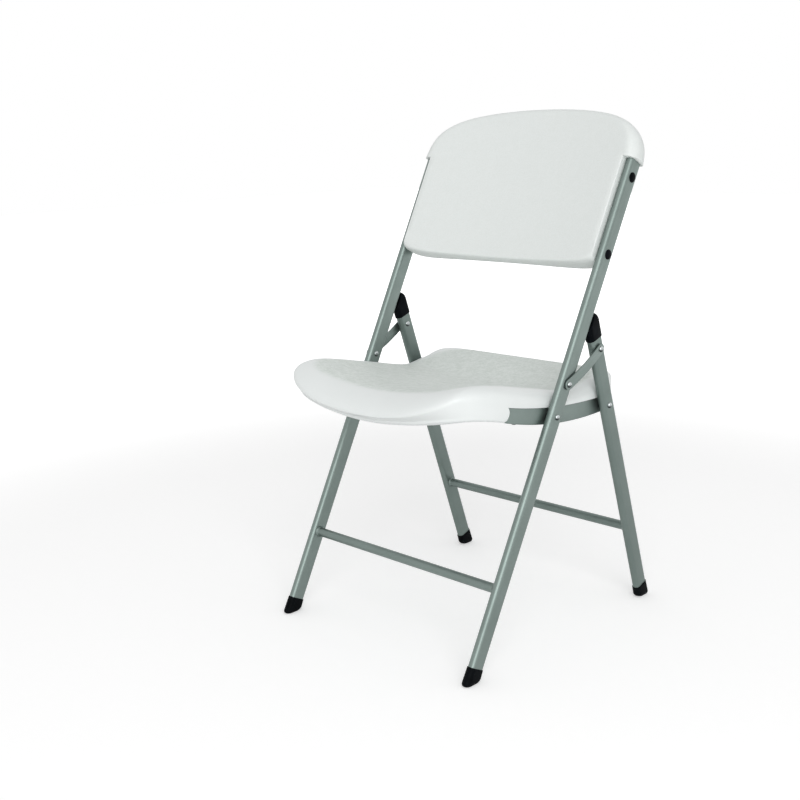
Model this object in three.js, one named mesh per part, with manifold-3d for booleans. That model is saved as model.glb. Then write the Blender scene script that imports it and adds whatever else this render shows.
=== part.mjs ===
// Folding chair: flat-oval steel side frames, blow-moulded seat and back, and a four-bar fold on each side.
// Millimetres, +Z up. The sitter faces -Y, and "right" is the +X side.
import * as THREE from 'three';
import { mergeVertices } from 'three/addons/utils/BufferGeometryUtils.js';
import Module from 'manifold-3d';

const wasm = await Module();
wasm.setup();

// ---------------------------------------------------------------- driving dimensions
const degree = Math.PI / 180;
const gap = 0.3; // left between pieces that touch
const runningFit = 0.08; // radial, between a rivet and the hole that turns on it
const roundSides = 12; // facets round rivets, screws and holes

const tube = { depth: 30, width: 14, wall: 1.2 }; // flat-oval section, depth runs front to back
const frameSpacing = 430; // between the middle planes of the two side frames
const frontLegLean = 27.4 * degree; // from upright, top leans back
const rearLegLean = 19.5 * degree; // from upright, top leans forward
const stance = 484.9; // between the front and rear leg axes on the floor

// Places on the legs, measured up the leg from the floor.
const seatPivot = 442.1; // seat rail on the front tube
const linkRise = 54.9; // from there up to the link on the front tube
const linkPivot = seatPivot + linkRise;
const rearRailPivot = 409.1; // seat rail on the rear tube
const rearLinkPivot = 515.1; // link on the rear tube
const rearTubeTop = rearLinkPivot + 26.9;
const frontBarHeight = 154.6;
const rearBarHeight = 155.6;

const crossbar = { radius: 8, wall: 1.2, weldReach: 4, weldRise: 2.2 };
const rivet = { shank: 3, headRadius: 4.8, headHeight: 3, innerHeadHeight: 1.8 };
const washer = { radius: 8, thickness: 2.8 };
// The link bows below the line through its rivets, and a boss round each hole holds it clear of the leg cap.
const link = { width: 17.5, thickness: 2, bow: 3, bossRadius: 6.5 };

const foot = {
  wall: 1.2,
  flare: 0.8, // extra wall where the sleeve meets the sole
  height: 26.5,
  sole: 14, // solid below the tube's end
  toe: 7, // how much shorter the floor patch is at each end
  side: 3, // and how much narrower at each side
  rounding: 7, // height over which the sole rounds up
};
const cap = {
  wall: 1.6, // in front and behind, from the tube's face
  sideWall: 1.3,
  skirt: 8.8, // how far it reaches down over the tube
  shoulder: 19, // straight part above the tube's end
  crown: 15,
  crownWidth: 4,
  crownDepth: 8,
};

const rail = {
  thickness: 2.5,
  height: 27.4,
  endHeight: 24.5,
  front: 105, // ahead of the front pivot
  rear: 30, // behind the rear pivot
  bendRadius: 870,
  flange: 14,
  endSweep: 3.7, // how far the front end's top lies behind its bottom
  endBulge: 8, // and how far the seat's plastic swells into the end between them
  endHandle: 0.4, // height over which it does so, as a share of the end's height
};

const seat = {
  nose: 125, // ahead of the rails
  tail: 32, // behind the rails
  besideTube: 2.6, // between its side and the front tube
  frontSquareness: 4.8,
  rearSquareness: 10,
  panThickness: 20,
  wall: 3.2,
  hollowInset: 40, // plastic round the air space
  rimWidth: 13,
  rimDraft: 8, // slope of the wall from the rim up to the pan
  rivetRoom: 3.7, // between the rail and the bottom of the seat's side channel
  lipRadius: 5,
  skirtTuck: 0.25, // starting slope of the skirt's tuck and of its drop, where 1 is straight
  skirtDrop: 1.2,
};
// How the top rolls over each edge: how wide, how far down, and how far the lip below is tucked back in.
// The side's roll changes into the nose's and the rear's between two shares of the seat's half length.
const noseRoll = {
  width: 52,
  drop: 27,
  cornerDrop: 15,
  tuck: 29,
  cornerTuck: 10,
  startsAt: 0.55,
  fullAt: 0.98,
};
const sideRoll = { width: 26, drop: 22, tuck: 1.5 };
const rearRoll = { width: 10, drop: 10, tuck: 1.5, startsAt: 0.72, fullAt: 0.94 };

const back = {
  bottom: 688.5, // along the front legs, at the sides
  bottomArch: 4,
  top: 968.4,
  topRadius: 800,
  hoodWall: 6.5, // outside the tubes
  topSquareness: 5.5,
  bottomSquareness: 9,
  frontAtSides: -23,
  hollow: 18.5, // how far the middle of the front face lies behind its sides
  rearFace: 18.5,
  frontEdge: { side: 20, top: 11, bottom: 5, fullness: 0.8 }, // fullness 1 is round, less is squarer
  rearEdge: { side: 9, top: 11, bottom: 5, fullness: 0.55 },
  hollowEdge: { side: 8, top: 9, bottom: 5, fullness: 0.7 },
  wall: 3.2,
  solidSide: 13.5, // plastic that is pressed solid beside each tube
  hoodStart: 870.1, // above this the panel covers the tubes
  hoodMouth: 7, // how high the hood's outer wall is rounded off at its lower end
  tubeReach: 11.9, // how far the tubes run up inside the hood
  sideRounding: 2.8, // of the sides that stand against the tubes
};
const frontTubeTop = back.hoodStart + back.tubeReach;
const plug = { radius: 8, dome: 3, barrel: 6.2, barrelLength: 4.5 };
const backFixings = [back.bottom + 25.5, back.hoodStart - 26.6];
const backScrew = { radius: 2.2, length: 17, headRadius: 4.2, headHeight: 2.2 };
const seatScrew = { radius: 2.2, length: 11, headRadius: 4, headHeight: 1.6, fromFront: 28.5, fromRear: 16.5 };
const blowHole = 4;
const sliver = 1; // how far a cut runs past the face that it opens
const edgeBreak = 0.5; // off the rims of feet and caps

// ---------------------------------------------------------------- materials
const steelPaint = new THREE.MeshStandardMaterial({ color: 0x9fada5, roughness: 0.42, metalness: 0.45 });
const whitePlastic = new THREE.MeshStandardMaterial({ color: 0xe4e7e4, roughness: 0.5, metalness: 0 });
const blackPlastic = new THREE.MeshStandardMaterial({ color: 0x14181a, roughness: 0.5, metalness: 0 });
const blackRubber = new THREE.MeshStandardMaterial({ color: 0x161a1b, roughness: 0.6, metalness: 0 });
const zincSteel = new THREE.MeshStandardMaterial({ color: 0xc4ccd0, roughness: 0.3, metalness: 0.9 });

// ---------------------------------------------------------------- solids
function toSolid(geometry) {
  const bare = geometry.clone();
  bare.deleteAttribute('normal');
  bare.deleteAttribute('uv');
  const merged = mergeVertices(bare, 1e-4);
  const vertProperties = new Float32Array(merged.attributes.position.array);
  const triVerts = new Uint32Array(merged.index.array);
  return new wasm.Manifold(new wasm.Mesh({ numProp: 3, vertProperties, triVerts }));
}

function toGeometry(solid) {
  const mesh = solid.getMesh();
  const geometry = new THREE.BufferGeometry();
  geometry.setAttribute('position', new THREE.BufferAttribute(new Float32Array(mesh.vertProperties), 3));
  geometry.setIndex(new THREE.BufferAttribute(new Uint32Array(mesh.triVerts), 1));
  geometry.computeVertexNormals();
  return geometry;
}

function cut(geometry, ...tools) {
  let solid = toSolid(geometry);
  for (const tool of tools) solid = solid.subtract(toSolid(tool));
  return toGeometry(solid);
}

function join(first, ...others) {
  let solid = toSolid(first);
  for (const other of others) solid = solid.add(toSolid(other));
  return toGeometry(solid);
}

function extrude(shape, length, curveSegments = 6) {
  return new THREE.ExtrudeGeometry(shape, { depth: length, bevelEnabled: false, curveSegments });
}

// A shape drawn as (back, up) becomes a plate that is extruded sideways from x = from to x = to.
function plateAcross(shape, from, to, curveSegments = 6) {
  const plate = extrude(shape, to - from, curveSegments);
  const turn = new THREE.Matrix4().makeBasis(
    new THREE.Vector3(0, 1, 0), new THREE.Vector3(0, 0, 1), new THREE.Vector3(1, 0, 0));
  plate.applyMatrix4(turn);
  plate.translate(from, 0, 0);
  return plate;
}

function pinAcross(radius, from, to, back, up, segments = roundSides) {
  const pin = new THREE.CylinderGeometry(radius, radius, to - from, segments);
  pin.rotateZ(-Math.PI / 2);
  pin.translate((from + to) / 2, back, up);
  return pin;
}

// A hole that a facetted pin of the given radius turns in.
function holeRadius(pinRadius, clearance, segments = roundSides) {
  return (pinRadius + clearance) / Math.cos(Math.PI / segments);
}

// Flat-oval outline: width across, depth front to back.
function flatOval(width, depth) {
  const radius = width / 2;
  const straight = depth / 2 - radius;
  const shape = new THREE.Shape();
  shape.absarc(0, straight, radius, 0, Math.PI, false);
  shape.absarc(0, -straight, radius, Math.PI, 2 * Math.PI, false);
  shape.closePath();
  return shape;
}

function tubeBlank(from, to) {
  const section = flatOval(tube.width, tube.depth);
  section.holes.push(flatOval(tube.width - 2 * tube.wall, tube.depth - 2 * tube.wall));
  const blank = extrude(section, to - from);
  blank.translate(0, 0, from);
  return blank;
}

// Skins a stack of rings that all have as many points. A ring of one point closes an end.
function loft(rings) {
  const positions = [];
  const starts = [];
  for (const ring of rings) {
    starts.push(positions.length / 3);
    for (const point of ring) positions.push(point.x, point.y, point.z);
  }
  const index = [];
  for (let level = 0; level + 1 < rings.length; level += 1) {
    const count = Math.max(rings[level].length, rings[level + 1].length);
    for (let i = 0; i < count; i += 1) {
      const next = (i + 1) % count;
      const low = (k) => starts[level] + (rings[level].length === 1 ? 0 : k);
      const high = (k) => starts[level + 1] + (rings[level + 1].length === 1 ? 0 : k);
      if (rings[level].length > 1) index.push(low(i), low(next), high(next));
      if (rings[level + 1].length > 1) index.push(low(i), high(next), high(i));
    }
  }
  const geometry = new THREE.BufferGeometry();
  geometry.setAttribute('position', new THREE.Float32BufferAttribute(positions, 3));
  geometry.setIndex(index);
  geometry.computeVertexNormals();
  return geometry;
}

// Smooth height through a few (place, height) points, level beyond the two ends.
function smoothThrough(points, place) {
  const last = points.length - 1;
  if (place <= points[0][0]) return points[0][1];
  if (place >= points[last][0]) return points[last][1];
  const slopeAt = (k) => {
    if (k === 0 || k === last) return 0;
    return (points[k + 1][1] - points[k - 1][1]) / (points[k + 1][0] - points[k - 1][0]);
  };
  let k = 0;
  while (place > points[k + 1][0]) k += 1;
  const span = points[k + 1][0] - points[k][0];
  const t = (place - points[k][0]) / span;
  const startShare = (1 + 2 * t) * (1 - t) ** 2;
  const startSlope = t * (1 - t) ** 2 * span;
  const endSlope = t * t * (t - 1) * span;
  return startShare * points[k][1] + (1 - startShare) * points[k + 1][1]
    + startSlope * slopeAt(k) + endSlope * slopeAt(k + 1);
}

function makeMesh(name, geometry, material) {
  const mesh = new THREE.Mesh(geometry, material);
  mesh.name = name;
  return mesh;
}

// ---------------------------------------------------------------- the two leg frames
// Inside frontFrame and rearFrame, x is sideways, y is square to the leg towards the back, z runs up the leg.
const chair = new THREE.Group();
const frontFrame = new THREE.Group();
frontFrame.rotation.x = -frontLegLean;
const rearFrame = new THREE.Group();
rearFrame.position.y = stance;
rearFrame.rotation.x = rearLegLean;
chair.add(frontFrame, rearFrame);

const sides = [{ name: 'left', sign: -1 }, { name: 'right', sign: 1 }];
const tubeOuter = tube.width / 2;
const halfSpacing = frameSpacing / 2;

function onFrontLeg(up, backward) {
  return new THREE.Vector2(
    up * Math.sin(frontLegLean) + backward * Math.cos(frontLegLean),
    up * Math.cos(frontLegLean) - backward * Math.sin(frontLegLean));
}

function onRearLeg(up, backward) {
  return new THREE.Vector2(
    stance - up * Math.sin(rearLegLean) + backward * Math.cos(rearLegLean),
    up * Math.cos(rearLegLean) + backward * Math.sin(rearLegLean));
}

const rivetHole = holeRadius(rivet.shank, runningFit);
const pivotOnSeat = { front: onFrontLeg(seatPivot, 0), rear: onRearLeg(rearRailPivot, 0) };

// A round piece that lies across a side frame, turned from (radius, distance from the middle plane) points.
function turnedAcross(profile, side, back, up, segments = roundSides) {
  const points = profile.map(([radius, away]) => new THREE.Vector2(radius, away));
  const turned = new THREE.LatheGeometry(points, segments);
  turned.rotateZ(-side.sign * Math.PI / 2);
  turned.translate(0, back, up);
  return turned;
}

function domeProfile(radius, height, base, direction, steps = 2) {
  const points = [];
  for (let i = 0; i <= steps; i += 1) {
    const angle = (i / steps) * Math.PI / 2;
    points.push([radius * Math.cos(angle), base + direction * height * Math.sin(angle)]);
  }
  points[steps][0] = 0;
  return points;
}

// Rivet from the inner head's base to the outer head's base, both given from the chair's middle plane.
function rivetProfile(innerBase, outerBase) {
  const inner = domeProfile(rivet.headRadius, rivet.innerHeadHeight, innerBase, -1).reverse();
  const outer = domeProfile(rivet.headRadius, rivet.headHeight, outerBase, 1);
  return [...inner, [rivet.shank, innerBase], [rivet.shank, outerBase], ...outer];
}

// ---------------------------------------------------------------- steel tubes and crossbars
const outerFace = halfSpacing + tubeOuter;
const innerFace = halfSpacing - tubeOuter;
const railOuter = innerFace - washer.thickness - 2 * gap;
const railInner = railOuter - rail.thickness;
const linkInner = outerFace + cap.sideWall + gap;
const linkOuter = linkInner + link.thickness;
const railFront = pivotOnSeat.front.x - rail.front;
const railRear = pivotOnSeat.rear.x + rail.rear;
const seatHalfWidth = innerFace - seat.besideTube;
const seatFront = railFront - seat.nose;
const seatRear = railRear + seat.tail;
const seatScrewEnds = [railFront + seatScrew.fromFront, railRear - seatScrew.fromRear];
const seatScrewPlaces = [seatScrewEnds[0], (seatScrewEnds[0] + seatScrewEnds[1]) / 2, seatScrewEnds[1]];
const backHalfWidth = outerFace + back.hoodWall;

function drill(side, radius, from, to, up) {
  const ends = [side.sign * from, side.sign * to].sort((a, b) => a - b);
  return pinAcross(radius, ends[0], ends[1], 0, up);
}

function frontTube(side) {
  const blank = tubeBlank(foot.sole + gap, frontTubeTop);
  blank.translate(side.sign * halfSpacing, 0, 0);
  const inside = innerFace - sliver;
  const outside = outerFace + sliver;
  const throughHoles = [seatPivot, linkPivot].map((up) => drill(side, rivetHole, inside, outside, up));
  const accessHoles = backFixings.map((up) => drill(side, plug.barrel + gap, halfSpacing, outside, up));
  const screwHoles = backFixings.map((up) => drill(side, backScrew.radius + gap, inside, halfSpacing, up));
  return cut(blank, ...throughHoles, ...accessHoles, ...screwHoles);
}

function rearTube(side) {
  const blank = tubeBlank(foot.sole + gap, rearTubeTop);
  blank.translate(side.sign * halfSpacing, 0, 0);
  const ends = [innerFace - sliver, outerFace + sliver];
  const holes = [rearRailPivot, rearLinkPivot].map((up) => drill(side, rivetHole, ...ends, up));
  return cut(blank, ...holes);
}

// Round bar between the two tubes, flared by the weld bead at each end.
function crossbarBetweenTubes(up) {
  const end = innerFace - gap;
  const bead = end - crossbar.weldReach;
  const outer = crossbar.radius;
  const flared = outer + crossbar.weldRise;
  const bore = outer - crossbar.wall;
  const profile = [[bore, -end], [flared, -end], [outer + crossbar.weldRise / 3, -bead - crossbar.weldReach / 3],
    [outer, -bead + crossbar.weldReach / 3], [outer, bead - crossbar.weldReach / 3],
    [outer + crossbar.weldRise / 3, bead + crossbar.weldReach / 3], [flared, end], [bore, end], [bore, -end]];
  const bar = new THREE.LatheGeometry(profile.map(([r, x]) => new THREE.Vector2(r, x)), 16);
  bar.rotateZ(-Math.PI / 2);
  bar.translate(0, 0, up);
  return bar;
}

// ---------------------------------------------------------------- feet and leg caps
function ovalRing(width, depth, place, count = 16) {
  const radius = width / 2;
  const straight = depth / 2 - radius;
  const ring = [];
  for (let i = 0; i < count; i += 1) {
    const angle = (i + 0.5) * 2 * Math.PI / count;
    const across = radius * Math.cos(angle);
    const along = radius * Math.sin(angle) + Math.sign(Math.sin(angle)) * straight;
    ring.push(place(across, along));
  }
  return ring;
}

// Sole on the floor, rounded up all the way round, then a sleeve over the end of the tube.
function footOn(side, floorSlope) {
  const middle = side.sign * halfSpacing;
  const aboveFloor = (rise) => (x, y) => new THREE.Vector3(middle + x, y, y * floorSlope + rise);
  const square = (up) => (x, y) => new THREE.Vector3(middle + x, y, up);
  const soleWidth = tube.width + 2 * (foot.wall + foot.flare);
  const soleDepth = tube.depth + 2 * (foot.wall + foot.flare);
  const rings = [[new THREE.Vector3(middle, 0, 0)]];
  const steps = 3;
  for (let i = 0; i <= steps; i += 1) {
    const turn = (i / steps) * Math.PI / 2;
    const drawn = 2 * (1 - Math.sin(turn));
    const rise = foot.rounding * (1 - Math.cos(turn));
    rings.push(ovalRing(soleWidth - foot.side * drawn, soleDepth - foot.toe * drawn, aboveFloor(rise)));
  }
  const sleeve = (by, up) => ovalRing(tube.width + 2 * by, tube.depth + 2 * by, square(up));
  rings.push(sleeve(foot.wall, foot.height - 2 * edgeBreak), sleeve(foot.wall - edgeBreak, foot.height));
  rings.push(sleeve(gap, foot.height), sleeve(gap, foot.sole));
  rings.push([new THREE.Vector3(middle, 0, foot.sole)]);
  return loft(rings);
}

// Everything in front of the front tube's back face, drawn in the rear leg's frame, is cut off the cap.
function frontTubeSideOfCap(side) {
  const onRear = (point) => {
    const back = point.x - stance;
    return new THREE.Vector2(
      back * Math.cos(rearLegLean) + point.y * Math.sin(rearLegLean),
      -back * Math.sin(rearLegLean) + point.y * Math.cos(rearLegLean));
  };
  const reach = 200;
  const face = tube.depth / 2 + gap;
  const corners = [[linkPivot - reach, face], [linkPivot + reach, face],
    [linkPivot + reach, face - reach], [linkPivot - reach, face - reach]];
  const shape = new THREE.Shape(corners.map(([up, backward]) => onRear(onFrontLeg(up, backward))));
  const middle = side.sign * halfSpacing;
  return plateAcross(shape, middle - tube.width, middle + tube.width);
}

// Hood over the top of the rear tube whose front flank bears on the front tube when the chair is open.
function rearCap(side) {
  const middle = side.sign * halfSpacing;
  const at = (up) => (x, y) => new THREE.Vector3(middle + x, y, up);
  const width = tube.width + 2 * cap.sideWall;
  const depth = tube.depth + 2 * cap.wall;
  const bottom = rearTubeTop - cap.skirt;
  const shoulder = rearTubeTop + cap.shoulder;
  const rings = [
    [new THREE.Vector3(middle, 0, bottom)],
    ovalRing(width - 2 * edgeBreak, depth - 2 * edgeBreak, at(bottom)),
    ovalRing(width, depth, at(bottom + 2 * edgeBreak)),
    ovalRing(width, depth, at(shoulder)),
  ];
  const steps = 4;
  for (let i = 1; i <= steps; i += 1) {
    const angle = (i / steps) * Math.PI / 2;
    const slim = 1 - Math.cos(angle);
    const across = width - slim * (width - cap.crownWidth);
    const along = depth - slim * (depth - cap.crownDepth);
    rings.push(ovalRing(across, along, at(shoulder + cap.crown * Math.sin(angle))));
  }
  rings.push([new THREE.Vector3(middle, 0, shoulder + cap.crown)]);
  const pocket = extrude(flatOval(tube.width + 2 * gap, tube.depth + 2 * gap), cap.skirt + gap + sliver);
  pocket.translate(middle, 0, bottom - sliver);
  return cut(loft(rings), pocket, frontTubeSideOfCap(side));
}

// ---------------------------------------------------------------- blow-moulded forms
// Directions round an outline, closer together towards its four corners.
function directionsRound(count) {
  const crowding = 0.6;
  const spread = (value) => Math.sign(value) * Math.abs(value) ** crowding;
  const directions = [];
  for (let i = 0; i < count; i += 1) {
    const turn = (i + 0.5) * 2 * Math.PI / count;
    directions.push(Math.atan2(spread(Math.sin(turn)), spread(Math.cos(turn))));
  }
  return directions;
}

// Rounded rectangle as a superellipse whose two ends can differ in squareness.
function superellipse(angle, halfWidth, halfLength, lowSquareness, highSquareness) {
  const c = Math.cos(angle);
  const s = Math.sin(angle);
  const n = s < 0 ? lowSquareness : highSquareness;
  const radius = (Math.abs(c) ** n + Math.abs(s) ** n) ** (-1 / n);
  return new THREE.Vector2(halfWidth * radius * c, halfLength * radius * s);
}

const backHalfHeight = (back.top - back.bottom) / 2;
const backMiddle = (back.top + back.bottom) / 2;

// A point of the back panel's outline, drawn in from the edge; x is sideways, y is up the front legs.
function backOutline(angle, sideInset, endInset) {
  const p = superellipse(angle, backHalfWidth - sideInset, backHalfHeight - endInset,
    back.bottomSquareness, back.topSquareness);
  const upperShare = THREE.MathUtils.clamp(0.5 + p.y / backHalfHeight, 0, 1);
  const lowerShare = 1 - upperShare;
  const topDrop = p.x ** 2 / (2 * back.topRadius);
  const bottomRise = back.bottomArch * (1 - (p.x / backHalfWidth) ** 2);
  return new THREE.Vector2(p.x, backMiddle + p.y - upperShare * topDrop + lowerShare * bottomRise);
}

function backFrontFace(x) {
  const share = Math.min(1, Math.abs(x) / (backHalfWidth - back.frontEdge.side));
  return back.frontAtSides + back.hollow * (1 - share ** 2);
}

function backRing(inset, depthShare, skin, count) {
  return directionsRound(count).map((angle) => {
    const p = backOutline(angle, inset.side, Math.sin(angle) > 0 ? inset.top : inset.bottom);
    const front = backFrontFace(p.x) + skin;
    const rear = back.rearFace - skin;
    return new THREE.Vector3(p.x, front + (rear - front) * depthShare, p.y);
  });
}

// Puffed panel: two faces joined by a rolled edge. The hollow inside is the same form drawn in by a skin.
function backForm(skin, drawnIn, frontRoll, rearRoll, faceShares, edgeSteps, count) {
  const edge = (roll, share) => ({
    side: drawnIn.side + roll.side * share,
    top: drawnIn.top + roll.top * share,
    bottom: drawnIn.bottom + roll.bottom * share,
  });
  const face = (roll, share) => ({
    side: THREE.MathUtils.lerp(edge(roll, 1).side, backHalfWidth, share),
    top: THREE.MathUtils.lerp(edge(roll, 1).top, backHalfHeight, share),
    bottom: THREE.MathUtils.lerp(edge(roll, 1).bottom, backHalfHeight, share),
  });
  const centre = backOutline(Math.PI / 2, backHalfWidth, backHalfHeight);
  const rings = [[new THREE.Vector3(0, back.rearFace - skin, centre.y)]];
  for (const share of faceShares) rings.push(backRing(face(rearRoll, share), 1, skin, count));
  for (let i = edgeSteps; i >= 0; i -= 1) {
    const angle = (i / edgeSteps) * Math.PI;
    const roll = angle > Math.PI / 2 ? rearRoll : frontRoll;
    const drawn = 1 - Math.abs(Math.sin(angle)) ** roll.fullness;
    rings.push(backRing(edge(roll, drawn), 0.5 - 0.5 * Math.cos(angle), skin, count));
  }
  for (const share of [...faceShares].reverse()) rings.push(backRing(face(frontRoll, share), 0, skin, count));
  rings.push([new THREE.Vector3(0, backFrontFace(0) + skin, centre.y)]);
  return loft(rings);
}

// Room beside the panel for a tube, with the panel's two edges there rounded off.
function besideTube(side) {
  const inner = innerFace - gap;
  const outer = backHalfWidth + sliver;
  const front = backFrontFace(inner);
  const rear = back.rearFace;
  const round = back.sideRounding;
  const at = (x) => side.sign * x;
  const shape = new THREE.Shape();
  shape.moveTo(at(inner - round), front - round);
  shape.lineTo(at(inner - round), front);
  shape.quadraticCurveTo(at(inner), front, at(inner), front + round);
  shape.lineTo(at(inner), rear - round);
  shape.quadraticCurveTo(at(inner), rear, at(inner - round), rear);
  shape.lineTo(at(inner - round), rear + round);
  shape.lineTo(at(outer), rear + round);
  shape.lineTo(at(outer), front - round);
  shape.closePath();
  const room = extrude(shape, back.hoodStart - back.bottom + round, 3);
  room.translate(0, 0, back.bottom - round);
  return room;
}

// Rounds off the lower end of the hood's outer wall.
function hoodMouth(side) {
  const wall = outerFace + gap;
  const outer = backHalfWidth + sliver;
  const low = back.hoodStart - sliver;
  const high = back.hoodStart + back.hoodMouth;
  const shape = new THREE.Shape();
  shape.moveTo(side.sign * wall, low);
  shape.lineTo(side.sign * wall, back.hoodStart);
  shape.quadraticCurveTo(side.sign * backHalfWidth, back.hoodStart, side.sign * backHalfWidth, high);
  shape.lineTo(side.sign * outer, high);
  shape.lineTo(side.sign * outer, low);
  shape.closePath();
  const depth = back.rearFace - back.frontAtSides + 2 * sliver;
  const room = extrude(shape, depth, 4);
  room.rotateX(Math.PI / 2);
  room.translate(0, back.rearFace + sliver, 0);
  return room;
}

function backPanel() {
  const solidSide = backHalfWidth - innerFace + back.solidSide;
  const drawnIn = { side: solidSide, top: back.wall, bottom: back.wall };
  const hollow = backForm(back.wall, drawnIn, back.hollowEdge, back.hollowEdge, [0.6, 0.2], 4, 32);
  const cutters = [hollow];
  for (const side of sides) {
    const bore = flatOval(tube.width + 2 * gap, tube.depth + 2 * gap);
    const socket = extrude(bore, back.tubeReach + gap + sliver);
    socket.translate(side.sign * halfSpacing, 0, back.hoodStart - sliver);
    cutters.push(besideTube(side), hoodMouth(side), socket);
    const tip = innerFace + tube.wall + backScrew.headHeight - backScrew.length;
    for (const up of backFixings) cutters.push(drill(side, backScrew.radius + gap, tip - sliver, innerFace, up));
  }
  const vent = new THREE.CylinderGeometry(blowHole, blowHole, 3 * back.wall, 16);
  vent.translate(0, back.rearFace - back.wall / 2, backMiddle - backHalfHeight / 2);
  cutters.push(vent);
  const flush = { side: 0, top: 0, bottom: 0 };
  const outside = backForm(0, flush, back.frontEdge, back.rearEdge, [0.7, 0.4, 0.15], 8, 64);
  return cut(outside, ...cutters);
}

// ---------------------------------------------------------------- seat
const seatHalfLength = (seatRear - seatFront) / 2;
const seatMiddle = (seatRear + seatFront) / 2;

// Height of the seat's side edge over the front pivot, and how far its middle lies below that edge.
// Both run from front to back as (distance behind the pivot, height).
const sideHeights = [[-231, 68.5], [-178, 74.5], [-113, 65], [-13, 43.5], [81, 25], [132, 31], [208, 40.5]];
const dishDepths = [[-231, 26], [-173, 26], [-53, 18], [82, 7], [197, 0]];

function seatTop(x, y) {
  const share = Math.min(1, Math.abs(x) / (seatHalfWidth - sideRoll.width));
  const behind = y - pivotOnSeat.front.x;
  return pivotOnSeat.front.y + smoothThrough(sideHeights, behind)
    - smoothThrough(dishDepths, behind) * (1 - share ** 2);
}

// The rail's middle line bends through its two pivots.
function railMiddle(y) {
  const { front, rear } = pivotOnSeat;
  const straight = THREE.MathUtils.mapLinear(y, front.x, rear.x, front.y, rear.y);
  return straight + (y - front.x) * (y - rear.x) / (2 * rail.bendRadius);
}

function railHalfHeight(y) {
  const share = (2 * y - railFront - railRear) / (railRear - railFront);
  return (rail.height - (rail.height - rail.endHeight) * share ** 2) / 2;
}

// Ahead of the rails the lower edge climbs this much per millimetre, and sweeps down this much under the nose.
const noseLip = { climb: 0.245, sweep: 34.5, spread: 1.7, sweepEnd: 40 };

// Height of the seat's lower edge: level with the rail's at the sides, and down under the nose.
function seatLip(x, y) {
  const railed = THREE.MathUtils.clamp(y, railFront, railRear);
  let height = railMiddle(railed) - railHalfHeight(railed);
  if (y < railFront) height += (railFront - y) * noseLip.climb;
  const share = Math.min(1, Math.abs(x) / (seatHalfWidth - seat.lipRadius));
  const sweep = THREE.MathUtils.smoothstep(railFront - y, 0, seat.nose - noseLip.sweepEnd);
  return height - sweep * noseLip.sweep * (1 - share ** noseLip.spread);
}

// How the edge is rolled and tucked in a direction of the outline.
function rollAt(angle) {
  const p = superellipse(angle, 1, 1, seat.frontSquareness, seat.rearSquareness);
  const frontShare = THREE.MathUtils.smoothstep(-p.y, noseRoll.startsAt, noseRoll.fullAt);
  const rearShare = THREE.MathUtils.smoothstep(p.y, rearRoll.startsAt, rearRoll.fullAt);
  const cornerShare = Math.abs(p.x) ** 3;
  const nose = {
    width: noseRoll.width,
    drop: THREE.MathUtils.lerp(noseRoll.drop, noseRoll.cornerDrop, cornerShare),
    tuck: THREE.MathUtils.lerp(noseRoll.tuck, noseRoll.cornerTuck, cornerShare),
  };
  const mix = (key) => sideRoll[key] + frontShare * (nose[key] - sideRoll[key])
    + rearShare * (rearRoll[key] - sideRoll[key]);
  return { width: mix('width'), drop: mix('drop'), tuck: mix('tuck') };
}

function seatOutline(angle, inset) {
  const p = superellipse(angle, seatHalfWidth - inset, seatHalfLength - inset,
    seat.frontSquareness, seat.rearSquareness);
  return new THREE.Vector2(p.x, p.y + seatMiddle);
}

function seatRing(place, count = 64) {
  return directionsRound(count).map(place);
}

function seatFaceRing(share, height) {
  return seatRing((angle) => {
    const edge = seatOutline(angle, rollAt(angle).width);
    const p = new THREE.Vector2(0, seatMiddle).lerp(edge, share);
    return new THREE.Vector3(p.x, p.y, height(p.x, p.y));
  });
}

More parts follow.
